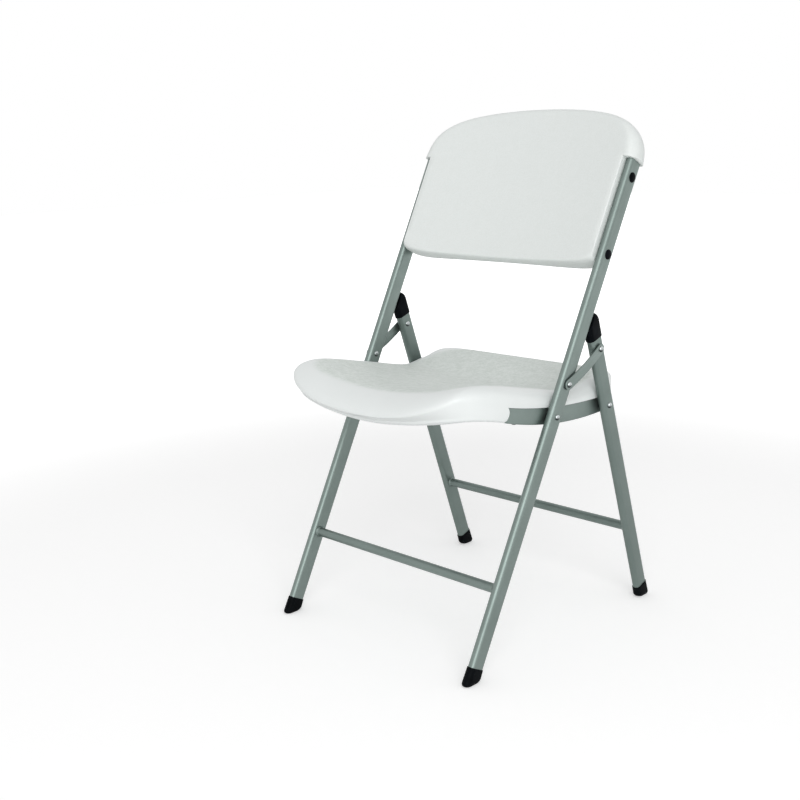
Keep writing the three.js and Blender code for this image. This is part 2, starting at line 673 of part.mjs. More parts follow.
function seatForm() {
  const faceShares = [0.3, 0.6, 0.84];
  const rings = [[new THREE.Vector3(0, seatMiddle, seatTop(0, seatMiddle))]];
  for (const share of faceShares) rings.push(seatFaceRing(share, seatTop));
  const rollSteps = 5;
  for (let i = 0; i <= rollSteps; i += 1) {
    const turn = (i / rollSteps) * Math.PI / 2;
    rings.push(seatRing((angle) => {
      const roll = rollAt(angle);
      const p = seatOutline(angle, roll.width * (1 - Math.sin(turn)));
      return new THREE.Vector3(p.x, p.y, seatTop(p.x, p.y) - roll.drop * (1 - Math.cos(turn)));
    }));
  }
  const skirtSteps = 4;
  const eased = (t, startSlope) => startSlope * t * (1 - t) + t * t;
  for (let i = 1; i <= skirtSteps; i += 1) {
    const t = i / skirtSteps;
    rings.push(seatRing((angle) => {
      const roll = rollAt(angle);
      const widest = seatOutline(angle, 0);
      const from = seatTop(widest.x, widest.y) - roll.drop;
      const p = seatOutline(angle, roll.tuck * eased(t, seat.skirtTuck));
      const to = seatLip(p.x, p.y) + seat.lipRadius;
      return new THREE.Vector3(p.x, p.y, THREE.MathUtils.lerp(from, to, eased(t, seat.skirtDrop)));
    }));
  }
  const lipRing = (turn) => seatRing((angle) => {
    const p = seatOutline(angle, rollAt(angle).tuck + seat.lipRadius * (1 - Math.cos(turn)));
    return new THREE.Vector3(p.x, p.y, seatLip(p.x, p.y) + seat.lipRadius * (1 - Math.sin(turn)));
  });
  rings.push(lipRing(Math.PI / 4), lipRing(Math.PI / 2));
  const rimInner = (angle) => rollAt(angle).tuck + seat.lipRadius + seat.rimWidth;
  rings.push(seatRing((angle) => {
    const p = seatOutline(angle, rimInner(angle));
    return new THREE.Vector3(p.x, p.y, seatLip(p.x, p.y));
  }));
  const underside = (x, y) => seatTop(x, y) - seat.panThickness;
  const panEdge = (angle) => seatOutline(angle, Math.max(rimInner(angle) + seat.rimDraft, rollAt(angle).width));
  rings.push(seatRing((angle) => {
    const p = panEdge(angle);
    return new THREE.Vector3(p.x, p.y, underside(p.x, p.y));
  }));
  for (const share of [0.7, 0.35]) {
    rings.push(seatRing((angle) => {
      const p = new THREE.Vector2(0, seatMiddle).lerp(panEdge(angle), share);
      return new THREE.Vector3(p.x, p.y, underside(p.x, p.y));
    }));
  }
  rings.push([new THREE.Vector3(0, seatMiddle, underside(0, seatMiddle))]);
  return loft(rings.reverse());
}

// Air space between the two skins of the seat.
function seatHollow() {
  const above = (x, y) => seatTop(x, y) - seat.wall;
  const below = (x, y) => seatTop(x, y) - seat.panThickness + seat.wall;
  const ringAt = (share, height) => seatRing((angle) => {
    const p = new THREE.Vector2(0, seatMiddle).lerp(seatOutline(angle, seat.hollowInset), share);
    return new THREE.Vector3(p.x, p.y, height(p.x, p.y));
  }, 32);
  const shares = [0.35, 0.7, 1];
  const rings = [[new THREE.Vector3(0, seatMiddle, above(0, seatMiddle))]];
  for (const share of shares) rings.push(ringAt(share, above));
  for (const share of [...shares].reverse()) rings.push(ringAt(share, below));
  rings.push([new THREE.Vector3(0, seatMiddle, below(0, seatMiddle))]);
  return loft(rings.reverse());
}

// Rail outline seen from the side, grown by a margin.
function railOutline(margin) {
  const steps = 10;
  const from = railFront - margin;
  const to = railRear + margin;
  const place = (i) => from + (to - from) * i / steps;
  const lower = [];
  const upper = [];
  for (let i = 0; i <= steps; i += 1) {
    const y = place(i);
    const half = railHalfHeight(THREE.MathUtils.clamp(y, railFront, railRear)) + margin;
    lower.push(new THREE.Vector2(y, railMiddle(y) - half));
    upper.push(new THREE.Vector2(y, railMiddle(y) + half));
  }
  return { lower, upper };
}

// The rail's web with its hollowed front end, or with a margin and some depth below it, the room in the seat.
function railShape(margin, below) {
  const { lower, upper } = railOutline(margin);
  const shape = new THREE.Shape();
  const [bottom] = lower;
  const [top] = upper;
  shape.moveTo(bottom.x, bottom.y);
  if (below > 0) shape.lineTo(bottom.x, bottom.y - below);
  for (const p of lower.slice(1)) shape.lineTo(p.x, p.y - below);
  for (const p of upper.slice(1).reverse()) shape.lineTo(p.x, p.y);
  const start = new THREE.Vector2(top.x + rail.endSweep, top.y);
  shape.lineTo(start.x, start.y);
  const swell = rail.endHeight * rail.endHandle;
  shape.bezierCurveTo(start.x + rail.endBulge, start.y - swell, bottom.x + rail.endBulge, bottom.y + swell,
    bottom.x, bottom.y);
  return shape;
}

// The band that the flange fills, or with a margin and some depth below it, the room for it in the seat.
function flangeShape(margin, below) {
  const { lower } = railOutline(margin);
  const shape = new THREE.Shape();
  shape.moveTo(lower[0].x, lower[0].y - below);
  for (const p of lower.slice(1)) shape.lineTo(p.x, p.y - below);
  for (const p of [...lower].reverse()) shape.lineTo(p.x, p.y + rail.thickness + 2 * margin);
  shape.closePath();
  return shape;
}

function seatScrewFrame(place) {
  const step = 1;
  const lowEdge = (y) => railMiddle(y) - railHalfHeight(y);
  const slope = Math.atan2(lowEdge(place + step) - lowEdge(place - step), 2 * step);
  return { height: lowEdge(place), slope };
}

const seatScrewAcross = railInner - rail.flange / 2;

// Turns a piece built along +Z at the origin so that it stands square to the flange at a screw's place.
function standOnFlange(geometry, side, place) {
  const frame = seatScrewFrame(place);
  geometry.rotateX(frame.slope);
  geometry.translate(side.sign * seatScrewAcross, place, frame.height);
  return geometry;
}

function uprightPin(radius, from, to, segments = 16) {
  const pin = new THREE.CylinderGeometry(radius, radius, to - from, segments);
  pin.rotateX(Math.PI / 2);
  pin.translate(0, 0, (from + to) / 2);
  return pin;
}

function seatRail(side) {
  const across = (a, b) => [side.sign * a, side.sign * b].sort((p, q) => p - q);
  const web = plateAcross(railShape(0, 0), ...across(railInner, railOuter));
  const flange = plateAcross(flangeShape(0, 0), ...across(railInner - rail.flange, railInner + sliver));
  const ends = across(railInner - sliver, railOuter + sliver);
  const holes = [pivotOnSeat.front, pivotOnSeat.rear].map((p) => pinAcross(rivetHole, ...ends, p.x, p.y));
  for (const place of seatScrewPlaces) {
    const hole = uprightPin(seatScrew.radius + gap, -sliver, rail.thickness + sliver);
    holes.push(standOnFlange(hole, side, place));
  }
  return cut(join(web, flange), ...holes);
}

function seatShell() {
  const cutters = [seatHollow()];
  for (const side of sides) {
    const across = (a, b) => [side.sign * a, side.sign * b].sort((p, q) => p - q);
    const outside = seatHalfWidth + sliver;
    const below = rail.height / 2;
    cutters.push(plateAcross(railShape(gap, below), ...across(railInner - seat.rivetRoom, outside)));
    cutters.push(plateAcross(flangeShape(gap, below), ...across(railInner - rail.flange - gap, outside)));
    for (const place of seatScrewPlaces) {
      const hole = uprightPin(seatScrew.radius + gap, rail.thickness - sliver, seatScrew.length + sliver);
      cutters.push(standOnFlange(hole, side, place));
    }
  }
  const ventPlace = seatMiddle - seatHalfLength / 3;
  const vent = uprightPin(blowHole, -seat.wall, 2 * seat.wall);
  vent.translate(0, ventPlace, seatTop(0, ventPlace) - seat.panThickness);
  cutters.push(vent);
  return cut(seatForm(), ...cutters);
}

function panScrew(screw) {
  const head = domeProfile(screw.headRadius, screw.headHeight, -gap, -1).reverse();
  const point = [[screw.radius, screw.length - screw.radius], [0, screw.length]];
  const profile = [...head, [screw.radius, -gap], ...point];
  const turned = new THREE.LatheGeometry(profile.map(([r, z]) => new THREE.Vector2(r, z)), 16);
  turned.rotateX(Math.PI / 2);
  return turned;
}

// ---------------------------------------------------------------- assembly
for (const side of sides) {
  frontFrame.add(makeMesh(`front_tube_${side.name}`, frontTube(side), steelPaint));
  frontFrame.add(makeMesh(`front_foot_${side.name}`, footOn(side, Math.tan(frontLegLean)), blackRubber));
  rearFrame.add(makeMesh(`rear_tube_${side.name}`, rearTube(side), steelPaint));
  rearFrame.add(makeMesh(`rear_foot_${side.name}`, footOn(side, -Math.tan(rearLegLean)), blackRubber));
  rearFrame.add(makeMesh(`rear_cap_${side.name}`, rearCap(side), blackPlastic));
}
frontFrame.add(makeMesh('front_crossbar', crossbarBetweenTubes(frontBarHeight), steelPaint));
rearFrame.add(makeMesh('rear_crossbar', crossbarBetweenTubes(rearBarHeight), steelPaint));
frontFrame.add(makeMesh('back_panel', backPanel(), whitePlastic));
chair.add(makeMesh('seat_shell', seatShell(), whitePlastic));

for (const side of sides) {
  chair.add(makeMesh(`seat_rail_${side.name}`, seatRail(side), steelPaint));
  seatScrewPlaces.forEach((place, i) => {
    const screw = standOnFlange(panScrew(seatScrew), side, place);
    chair.add(makeMesh(`seat_screw_${side.name}_${i + 1}`, screw, zincSteel));
  });
}

// Plugs in the outer walls of the front tubes, and behind each one the screw that holds the back.
for (const side of sides) {
  backFixings.forEach((up, i) => {
    const level = i === 0 ? 'lower' : 'upper';
    const flangeBase = outerFace + gap / 2;
    const barrelEnd = flangeBase - plug.barrelLength;
    const plugProfile = [[0, barrelEnd], [plug.barrel, barrelEnd], [plug.barrel, flangeBase],
      ...domeProfile(plug.radius, plug.dome, flangeBase, 1)];
    const cover = turnedAcross(plugProfile, side, 0, up, 16);
    frontFrame.add(makeMesh(`back_plug_${side.name}_${level}`, cover, blackPlastic));
    const seatFace = innerFace + tube.wall + gap;
    const tip = seatFace + backScrew.headHeight - backScrew.length;
    const screwProfile = [[0, tip], [backScrew.radius, tip + backScrew.radius], [backScrew.radius, seatFace],
      ...domeProfile(backScrew.headRadius, backScrew.headHeight, seatFace, 1)];
    const screw = turnedAcross(screwProfile, side, 0, up);
    frontFrame.add(makeMesh(`back_screw_${side.name}_${level}`, screw, zincSteel));
  });
}

// Seat pivots: a washer between tube and rail, and a rivet through all three.
function pivotWasher(side, back, up) {
  const near = railOuter + gap;
  const far = near + washer.thickness;
  const bore = rivetHole;
  const profile = [[bore, near], [washer.radius, near], [washer.radius, far], [bore, far], [bore, near]];
  return turnedAcross(profile, side, back, up);
}

for (const side of sides) {
  const railRivet = rivetProfile(railInner - gap, outerFace + gap);
  const { front, rear } = pivotOnSeat;
  const frontRivet = turnedAcross(railRivet, side, 0, seatPivot);
  const rearRivet = turnedAcross(railRivet, side, 0, rearRailPivot);
  frontFrame.add(makeMesh(`front_seat_rivet_${side.name}`, frontRivet, zincSteel));
  rearFrame.add(makeMesh(`rear_seat_rivet_${side.name}`, rearRivet, zincSteel));
  chair.add(makeMesh(`front_seat_washer_${side.name}`, pivotWasher(side, front.x, front.y), blackPlastic));
  chair.add(makeMesh(`rear_seat_washer_${side.name}`, pivotWasher(side, rear.x, rear.y), blackPlastic));
}

// Link bars outside the tubes. The rear rivet is in two: a pin in the tube and a head in the link.
const linkFront = onFrontLeg(linkPivot, 0);
const linkRear = onRearLeg(rearLinkPivot, 0);

// Outline of the link along its own length: two round ends and bowed long edges between them.
function linkOutline(length) {
  const radius = link.width / 2;
  const shape = new THREE.Shape();
  shape.absarc(0, 0, radius, Math.PI / 2, 3 * Math.PI / 2, false);
  shape.quadraticCurveTo(length / 2, -radius - 2 * link.bow, length, -radius);
  shape.absarc(length, 0, radius, -Math.PI / 2, Math.PI / 2, false);
  shape.quadraticCurveTo(length / 2, radius - 2 * link.bow, 0, radius);
  return shape;
}

function linkBar(side) {
  const length = linkFront.distanceTo(linkRear);
  const lean = Math.atan2(linkRear.y - linkFront.y, linkRear.x - linkFront.x);
  const across = (a, b) => [side.sign * a, side.sign * b].sort((p, q) => p - q);
  const bar = plateAcross(linkOutline(length), ...across(linkInner, linkOuter));
  const bossEnds = across(outerFace + gap, linkInner + sliver);
  const holeEnds = across(outerFace, linkOuter + sliver);
  const bosses = [0, length].map((place) => pinAcross(link.bossRadius, ...bossEnds, place, 0, 16));
  const holes = [0, length].map((place) => pinAcross(rivetHole, ...holeEnds, place, 0));
  const pressed = cut(join(bar, ...bosses), ...holes);
  pressed.rotateX(lean);
  pressed.translate(0, linkFront.x, linkFront.y);
  return pressed;
}

for (const side of sides) {
  chair.add(makeMesh(`link_bar_${side.name}`, linkBar(side), steelPaint));
  const frontRivet = turnedAcross(rivetProfile(innerFace - gap, linkOuter + gap), side, 0, linkPivot);
  frontFrame.add(makeMesh(`front_link_rivet_${side.name}`, frontRivet, zincSteel));
  const pinProfile = [...domeProfile(rivet.headRadius, rivet.innerHeadHeight, innerFace - gap, -1).reverse(),
    [rivet.shank, innerFace - gap], [rivet.shank, outerFace], [0, outerFace]];
  const rearPin = turnedAcross(pinProfile, side, 0, rearLinkPivot);
  rearFrame.add(makeMesh(`rear_link_pin_${side.name}`, rearPin, zincSteel));
  const headProfile = [[0, outerFace + gap], [rivet.shank, outerFace + gap], [rivet.shank, linkOuter + gap],
    ...domeProfile(rivet.headRadius, rivet.headHeight, linkOuter + gap, 1)];
  const head = turnedAcross(headProfile, side, linkRear.x, linkRear.y);
  chair.add(makeMesh(`rear_link_rivet_${side.name}`, head, zincSteel));
}

// The origin is on the floor, under the middle of the open chair.
const extent = new THREE.Box3().setFromObject(chair, true);
const centred = new THREE.Group();
chair.position.set(0, -(extent.min.y + extent.max.y) / 2, -extent.min.z);
centred.add(chair);

export default centred;
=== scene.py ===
import math
import bmesh
import bpy
from mathutils import Matrix, Vector


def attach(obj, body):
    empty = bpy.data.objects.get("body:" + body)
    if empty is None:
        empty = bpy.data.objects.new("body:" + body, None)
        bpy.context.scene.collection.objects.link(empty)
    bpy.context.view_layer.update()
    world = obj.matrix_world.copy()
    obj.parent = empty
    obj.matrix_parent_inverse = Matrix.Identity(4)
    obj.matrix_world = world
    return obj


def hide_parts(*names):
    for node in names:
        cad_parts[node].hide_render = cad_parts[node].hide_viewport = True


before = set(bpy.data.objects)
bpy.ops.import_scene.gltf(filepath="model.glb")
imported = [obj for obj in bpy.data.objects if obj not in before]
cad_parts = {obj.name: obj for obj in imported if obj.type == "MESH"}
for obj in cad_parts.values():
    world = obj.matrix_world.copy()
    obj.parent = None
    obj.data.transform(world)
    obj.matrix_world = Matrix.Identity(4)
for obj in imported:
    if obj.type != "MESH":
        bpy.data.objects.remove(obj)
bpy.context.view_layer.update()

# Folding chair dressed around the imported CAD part. Lengths in the settings are in millimetres, unless a
# note says otherwise.
mm = 0.001
sides = {"left": -1, "right": 1}

chairLayout = {
    "frontLean": 27.4,  # degrees from upright, top leans back
    "rearLean": 19.5,  # degrees from upright, top leans forward
    "stance": 484.9,
    "spacing": 430.0,
    "middle": 237.029,  # how far the origin lies behind the front leg's foot
    "gap": 0.3,
}
tube = {"depth": 30.0, "width": 14.0, "wall": 1.2, "around": 64}
pivots = {"seatFront": 442.1, "linkFront": 497.0, "seatRear": 409.1, "linkRear": 515.1}

halfSpacing = chairLayout["spacing"] / 2
outerFace = halfSpacing + tube["width"] / 2
innerFace = halfSpacing - tube["width"] / 2
hoodStart = 870.1  # above this the back panel covers the front tubes
frontTubeTop = hoodStart + 11.9
rearTubeTop = pivots["linkRear"] + 26.9


# ---- places on the chair

def clamp(value, low=0.0, high=1.0):
    return max(low, min(high, value))


def mix(a, b, share):
    return a + (b - a) * share


def smoothStep(value, low, high):
    t = clamp((value - low) / (high - low))
    return t * t * (3 - 2 * t)


def place(x, y, z):
    return Vector((x, y - chairLayout["middle"], z)) * mm


def onFrontLeg(x, back, up):
    lean = math.radians(chairLayout["frontLean"])
    return place(x, up * math.sin(lean) + back * math.cos(lean), up * math.cos(lean) - back * math.sin(lean))


def onRearLeg(x, back, up):
    lean = math.radians(chairLayout["rearLean"])
    return place(x, chairLayout["stance"] - up * math.sin(lean) + back * math.cos(lean),
                 up * math.cos(lean) + back * math.sin(lean))


pivotPoints = {}
for pivotName, up in pivots.items():
    onLeg = onFrontLeg if pivotName.endswith("Front") else onRearLeg
    pivotPoints[pivotName] = onLeg(0, 0, up)


def roundPoints(radius, count):
    turns = [2 * math.pi * i / count for i in range(count)]
    return [(radius * math.cos(a), radius * math.sin(a)) for a in turns]


def smoothThrough(points, at):
    last = len(points) - 1
    if at <= points[0][0]:
        return points[0][1]
    if at >= points[last][0]:
        return points[last][1]

    def slopeAt(k):
        if k in (0, last):
            return 0.0
        return (points[k + 1][1] - points[k - 1][1]) / (points[k + 1][0] - points[k - 1][0])

    k = 0
    while at > points[k + 1][0]:
        k += 1
    span = points[k + 1][0] - points[k][0]
    t = (at - points[k][0]) / span
    start = (1 + 2 * t) * (1 - t) ** 2
    return (start * points[k][1] + (1 - start) * points[k + 1][1]
            + t * (1 - t) ** 2 * span * slopeAt(k) + t * t * (t - 1) * span * slopeAt(k + 1))


# ---- making meshes

def finishMesh(name, bm, sharpAngle=32):
    bmesh.ops.recalc_face_normals(bm, faces=bm.faces)
    data = bpy.data.meshes.new(name)
    bm.to_mesh(data)
    bm.free()
    data.shade_smooth()
    data.set_sharp_from_angle(angle=math.radians(sharpAngle))
    piece = bpy.data.objects.new(name, data)
    bpy.context.scene.collection.objects.link(piece)
    return piece


def loftRings(name, rings, closed=False, sharpAngle=32):
    bm = bmesh.new()
    rows = [[bm.verts.new(p) for p in ring] for ring in rings]
    pairs = list(zip(rows, rows[1:]))
    if closed:
        pairs.append((rows[-1], rows[0]))
    for low, high in pairs:
        count = max(len(low), len(high))
        for i in range(count):
            j = (i + 1) % count
            if len(low) == 1:
                bm.faces.new((low[0], high[j], high[i]))
            elif len(high) == 1:
                bm.faces.new((low[i], low[j], high[0]))
            else:
                bm.faces.new((low[i], low[j], high[j], high[i]))
    return finishMesh(name, bm, sharpAngle)


def turnedAcross(name, profile, side, axisPoint, around=40):
    # profile holds (radius, distance from the chair's middle plane), and axisPoint lies on that plane
    rings = []
    for radius, away in profile:
        centre = axisPoint + Vector((side * away * mm, 0, 0))
        if radius == 0:
            rings.append([centre])
        else:
            rings.append([centre + Vector((0, y, z)) * mm for y, z in roundPoints(radius, around)])
    return loftRings(name, rings)


def dome(radius, height, base, direction, steps=8):
    turns = [i / steps * math.pi / 2 for i in range(steps)]
    points = [(radius * math.cos(turn), base + direction * height * math.sin(turn)) for turn in turns]
    return points + [(0, base + direction * height)]


def ovalRing(width, depth, at):
    radius = width / 2
    straight = depth / 2 - radius
    ring = []
    for i in range(tube["around"]):
        angle = (i + 0.5) * 2 * math.pi / tube["around"]
        rise = math.sin(angle)
        ring.append(at(radius * math.cos(angle), radius * rise + math.copysign(straight, rise)))
    return ring


def extrudeAcross(name, outline, low, high, bevel=0.0, holes=(), sharpAngle=32):
    # outline and holes are loops of (back, up) on the chair's side view
    bm = bmesh.new()
    edges = []
    for loop in (outline, *holes):
        verts = [bm.verts.new(place(low, y, z)) for y, z in loop]
        edges += [bm.edges.new((verts[i], verts[(i + 1) % len(verts)])) for i in range(len(verts))]
    bmesh.ops.triangle_fill(bm, edges=edges, use_beauty=True)
    crossing = [e for e in bm.edges if not e.is_boundary]
    bmesh.ops.dissolve_limit(bm, angle_limit=0.01, verts=bm.verts, edges=crossing)
    grown = bmesh.ops.extrude_face_region(bm, geom=list(bm.faces))
    moved = [v for v in grown["geom"] if isinstance(v, bmesh.types.BMVert)]
    bmesh.ops.translate(bm, verts=moved, vec=Vector(((high - low) * mm, 0, 0)))
    piece = finishMesh(name, bm, sharpAngle)
    if bevel:
        roundEdges(piece, bevel, sharpAngle)
    return piece


def applyModifiers(piece, sharpAngle=32):
    depsgraph = bpy.context.evaluated_depsgraph_get()
    data = bpy.data.meshes.new_from_object(piece.evaluated_get(depsgraph))
    piece.modifiers.clear()
    old = piece.data
    piece.data = data
    bpy.data.meshes.remove(old)
    data.name = piece.name
    data.shade_smooth()
    data.set_sharp_from_angle(angle=math.radians(sharpAngle))
    return piece


def roundEdges(piece, width, sharpAngle=32, segments=3, edgeAngle=40):
    bevel = piece.modifiers.new("softEdges", "BEVEL")
    bevel.width = width * mm
    bevel.segments = segments
    bevel.limit_method = "ANGLE"
    bevel.angle_limit = math.radians(edgeAngle)
    bevel.harden_normals = False
    return applyModifiers(piece, sharpAngle)


def cutAway(piece, cutters, sharpAngle=32):
    for cutter in cutters:
        away = piece.modifiers.new("away", "BOOLEAN")
        away.operation = "DIFFERENCE"
        away.solver = "EXACT"
        away.object = cutter
    applyModifiers(piece, sharpAngle)
    for cutter in cutters:
        bpy.data.objects.remove(cutter)
    return piece


def joined(piece, other):
    # one object that holds both meshes
    bm = bmesh.new()
    bm.from_mesh(piece.data)
    bm.from_mesh(other.data)
    bm.to_mesh(piece.data)
    bm.free()
    bpy.data.objects.remove(other)
    return piece


def settle(piece, body, slotName, material, *nodes):
    piece.data.materials.clear()
    piece.data.materials.append(material)
    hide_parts(*nodes)
    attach(piece, body)
    return piece


# ---- finishes

class NodeSheet:
    # a material's node tree, with short calls for the nodes that the finishes use
    def __init__(self, name):
        self.material = bpy.data.materials.new(name)
        self.material.use_nodes = True
        self.tree = self.material.node_tree
        self.tree.nodes.clear()
        self.output = self.add("ShaderNodeOutputMaterial")
        self.shader = self.add("ShaderNodeBsdfPrincipled")
        self.tree.links.new(self.shader.outputs[0], self.output.inputs["Surface"])
        coordinates = self.add("ShaderNodeTexCoord").outputs
        self.place, self.facing = coordinates["Object"], coordinates["Normal"]

    def add(self, kind, **settings):
        node = self.tree.nodes.new(kind)
        for key, value in settings.items():
            setattr(node, key, value)
        return node

    def feed(self, socket, value):
        if isinstance(value, bpy.types.NodeSocket):
            self.tree.links.new(value, socket)
        else:
            socket.default_value = value

    def noise(self, scale, detail=3.0, roughness=0.5):
        node = self.add("ShaderNodeTexNoise")
        self.feed(node.inputs["Vector"], self.place)
        node.inputs["Scale"].default_value = scale
        node.inputs["Detail"].default_value = detail
        node.inputs["Roughness"].default_value = roughness
        return node.outputs["Fac"]

    def pebbles(self, scale):
        node = self.add("ShaderNodeTexVoronoi", feature="SMOOTH_F1")
        self.feed(node.inputs["Vector"], self.place)
        node.inputs["Scale"].default_value = scale
        return node.outputs["Distance"]

    def math(self, operation, a, b=0.0):
        node = self.add("ShaderNodeMath", operation=operation)
        for socket, value in zip(node.inputs, (a, b)):
            self.feed(socket, value)
        return node.outputs[0]

    def beyond(self, value, limit):
        # how far the value lies outside plus or minus the limit
        return self.math("MAXIMUM", self.math("SUBTRACT", self.math("ABSOLUTE", value), limit), 0.0)

    def remap(self, value, low, high, toLow, toHigh, smooth=False):
        node = self.add("ShaderNodeMapRange", interpolation_type="SMOOTHSTEP" if smooth else "LINEAR")
        for socket, number in zip(node.inputs, (value, low, high, toLow, toHigh)):
            self.feed(socket, number)
        return node.outputs[0]

    def blendColours(self, share, first, second):
        node = self.add("ShaderNodeMix", data_type="RGBA")
        for number, value in ((0, share), (6, first), (7, second)):  # the node's share and its two colours
            self.feed(node.inputs[number], value)
        return node.outputs[2]

    def axes(self, vector=None):
        node = self.add("ShaderNodeSeparateXYZ")
        self.feed(node.inputs[0], vector or self.place)
        return node.outputs

    def bump(self, height, distance, strength=1.0, onTop=None):
        node = self.add("ShaderNodeBump")
        self.feed(node.inputs["Height"], height)
        node.inputs["Distance"].default_value = distance
        self.feed(node.inputs["Strength"], strength)
        if onTop is not None:
            self.feed(node.inputs["Normal"], onTop)
        return node.outputs[0]

    def unevenRoughness(self, scale, limits):
        self.feed(self.shader.inputs["Roughness"], self.remap(self.noise(scale, 3), 0.3, 0.7, *limits))


def colour(*screenValues):
    # screen values from 0 to 255, as a linear colour
    def linear(value):
        return value / 12.92 if value <= 0.04045 else ((value + 0.055) / 1.055) ** 2.4
    return (*[linear(value / 255) for value in screenValues], 1.0)


paintLook = {
    "front": {"light": (127, 139, 135), "dark": (121, 133, 129)},
    "rear": {"light": (117, 129, 125), "dark": (111, 123, 119)},  # painted shade: the rear frame's paint is made a little darker, standing in for the shade on the rear legs
    "metallic": 0.9,
    "roughness": (0.4, 0.45),
    "orangePeel": 0.000006,  # metres
}


def makePaint(name, frameName):
    sheet = NodeSheet(name)
    shade = sheet.remap(sheet.noise(14, 4, 0.6), 0.35, 0.65, 0, 1)
    tones = paintLook[frameName]
    base = sheet.blendColours(shade, colour(*tones["dark"]), colour(*tones["light"]))
    sheet.feed(sheet.shader.inputs["Base Color"], base)
    sheet.shader.inputs["Metallic"].default_value = paintLook["metallic"]
    sheet.unevenRoughness(45, paintLook["roughness"])
    peel = sheet.bump(sheet.noise(650, 2), paintLook["orangePeel"])
    sheet.feed(sheet.shader.inputs["Normal"], peel)
    return sheet.material


plasticLook = {
    "white": (236, 240, 239),
    "shade": (232, 236, 235),
    "grainedShade": (228, 232, 230),
    "glossRoughness": 0.32,
    "grainRoughness": 0.58,
    "mottle": ((212, 220, 214), (230, 236, 232)),
    "mottled": {"back": 0.12, "seat": 0.8},
    "grainScale": 520,
    "grainDepth": 0.00012,
    "specular": 0.45,
}


def makeWhitePlastic(name, grainMask, mottled):
    # grainMask(sheet) gives 1 where the mould is grained and 0 where it is polished, and mottled is how
    # strongly the grain's patches differ in tone
    sheet = NodeSheet(name)
    grained = grainMask(sheet)
    cloud = sheet.remap(sheet.noise(9, 3, 0.55), 0.35, 0.7, 0, 1)
    plain = sheet.blendColours(cloud, colour(*plasticLook["white"]), colour(*plasticLook["shade"]))
    pebble = sheet.pebbles(plasticLook["grainScale"])
    speckle = sheet.remap(pebble, 0.1, 0.6, 0, 1)
    worn = sheet.blendColours(speckle, colour(*plasticLook["shade"]), colour(*plasticLook["grainedShade"]))
    patches = sheet.math("ADD", sheet.math("MULTIPLY", sheet.noise(75, 4, 0.65), 0.5),
                         sheet.math("MULTIPLY", sheet.noise(230, 2, 0.6), 0.5))
    mottle = [colour(*tone) for tone in plasticLook["mottle"]]
    tones = sheet.blendColours(sheet.remap(patches, 0.4, 0.6, 0, 1), *mottle)
    worn = sheet.blendColours(mottled, worn, tones)
    sheet.feed(sheet.shader.inputs["Base Color"], sheet.blendColours(grained, plain, worn))
    roughness = sheet.remap(grained, 0, 1, plasticLook["glossRoughness"], plasticLook["grainRoughness"])
    wavy = sheet.remap(sheet.noise(30, 2), 0.3, 0.7, -0.03, 0.03)
    sheet.feed(sheet.shader.inputs["Roughness"], sheet.math("ADD", roughness, wavy))
    sheet.shader.inputs["Specular IOR Level"].default_value = plasticLook["specular"]
    fleck = sheet.math("MULTIPLY", sheet.noise(1400, 2), 0.3)
    grain = sheet.math("ADD", sheet.math("MULTIPLY", pebble, 0.7), fleck)
    fine = sheet.bump(sheet.math("MULTIPLY", grain, grained), plasticLook["grainDepth"])
    soft = sheet.bump(sheet.noise(22, 2), 0.0006, 0.35, fine)  # faint waves that blow moulding leaves
    sheet.feed(sheet.shader.inputs["Normal"], soft)
    return sheet.material


darkLooks = {
    "blackPlastic": {"base": (8, 10, 13), "fade": (16, 20, 24), "roughness": (0.28, 0.4), "specular": 0.025,
                     "grain": 900, "depth": 0.00003},
    "blackRubber": {"base": (8, 10, 12), "fade": (17, 20, 23), "roughness": (0.35, 0.5), "specular": 0.025,
                    "grain": 420, "depth": 0.00006},
}


def makeDark(name):
    look = darkLooks[name]
    sheet = NodeSheet(name)
    share = sheet.remap(sheet.noise(60, 4, 0.6), 0.4, 0.75, 0, 1)
    shades = [colour(*look[key]) for key in ("base", "fade")]
    sheet.feed(sheet.shader.inputs["Base Color"], sheet.blendColours(share, *shades))
    sheet.unevenRoughness(80, look["roughness"])
    sheet.shader.inputs["Specular IOR Level"].default_value = look["specular"]
    sheet.feed(sheet.shader.inputs["Normal"], sheet.bump(sheet.noise(look["grain"], 3), look["depth"]))
    return sheet.material


# the zinc's lower tone is painted shade: surfaces facing down get a darker colour that stands in for dark
# reflections
zincLook = {"bright": (196, 202, 202), "paintedShadeBelow": (44, 50, 51), "roughness": (0.14, 0.24), "depth": 0.00001}


def makeZinc(name="zincSteel"):
    sheet = NodeSheet(name)
    share = sheet.remap(sheet.axes(sheet.facing)[2], 0.3, -0.35, 0, 1)  # painted shade: what faces down is painted darker, in place of dark reflections
    shades = [colour(*zincLook[key]) for key in ("bright", "paintedShadeBelow")]
    sheet.feed(sheet.shader.inputs["Base Color"], sheet.blendColours(share, *shades))
    sheet.shader.inputs["Metallic"].default_value = 1.0
    sheet.unevenRoughness(240, zincLook["roughness"])
    sheet.feed(sheet.shader.inputs["Normal"], sheet.bump(sheet.noise(900, 2), zincLook["depth"]))
    return sheet.material


paint = makePaint("greyGreenPaint", "front")
# the rear frame's paint is the same paint made darker, as painted shade
rearShadedPaint = makePaint("greyGreenPaintRearShaded", "rear")
blackPlastic = makeDark("blackPlastic")
blackRubber = makeDark("blackRubber")
zinc = makeZinc()
print("finishes: paint, black plastic, rubber and zinc")


# ---- tubes, crossbars and feet

tubeRuns = {
    "front": {"from": 14.3, "to": frontTubeTop, "body": "front_frame", "paint": paint},
    "rear": {"from": 14.3, "to": rearTubeTop, "body": "rear_frame", "paint": rearShadedPaint},
}


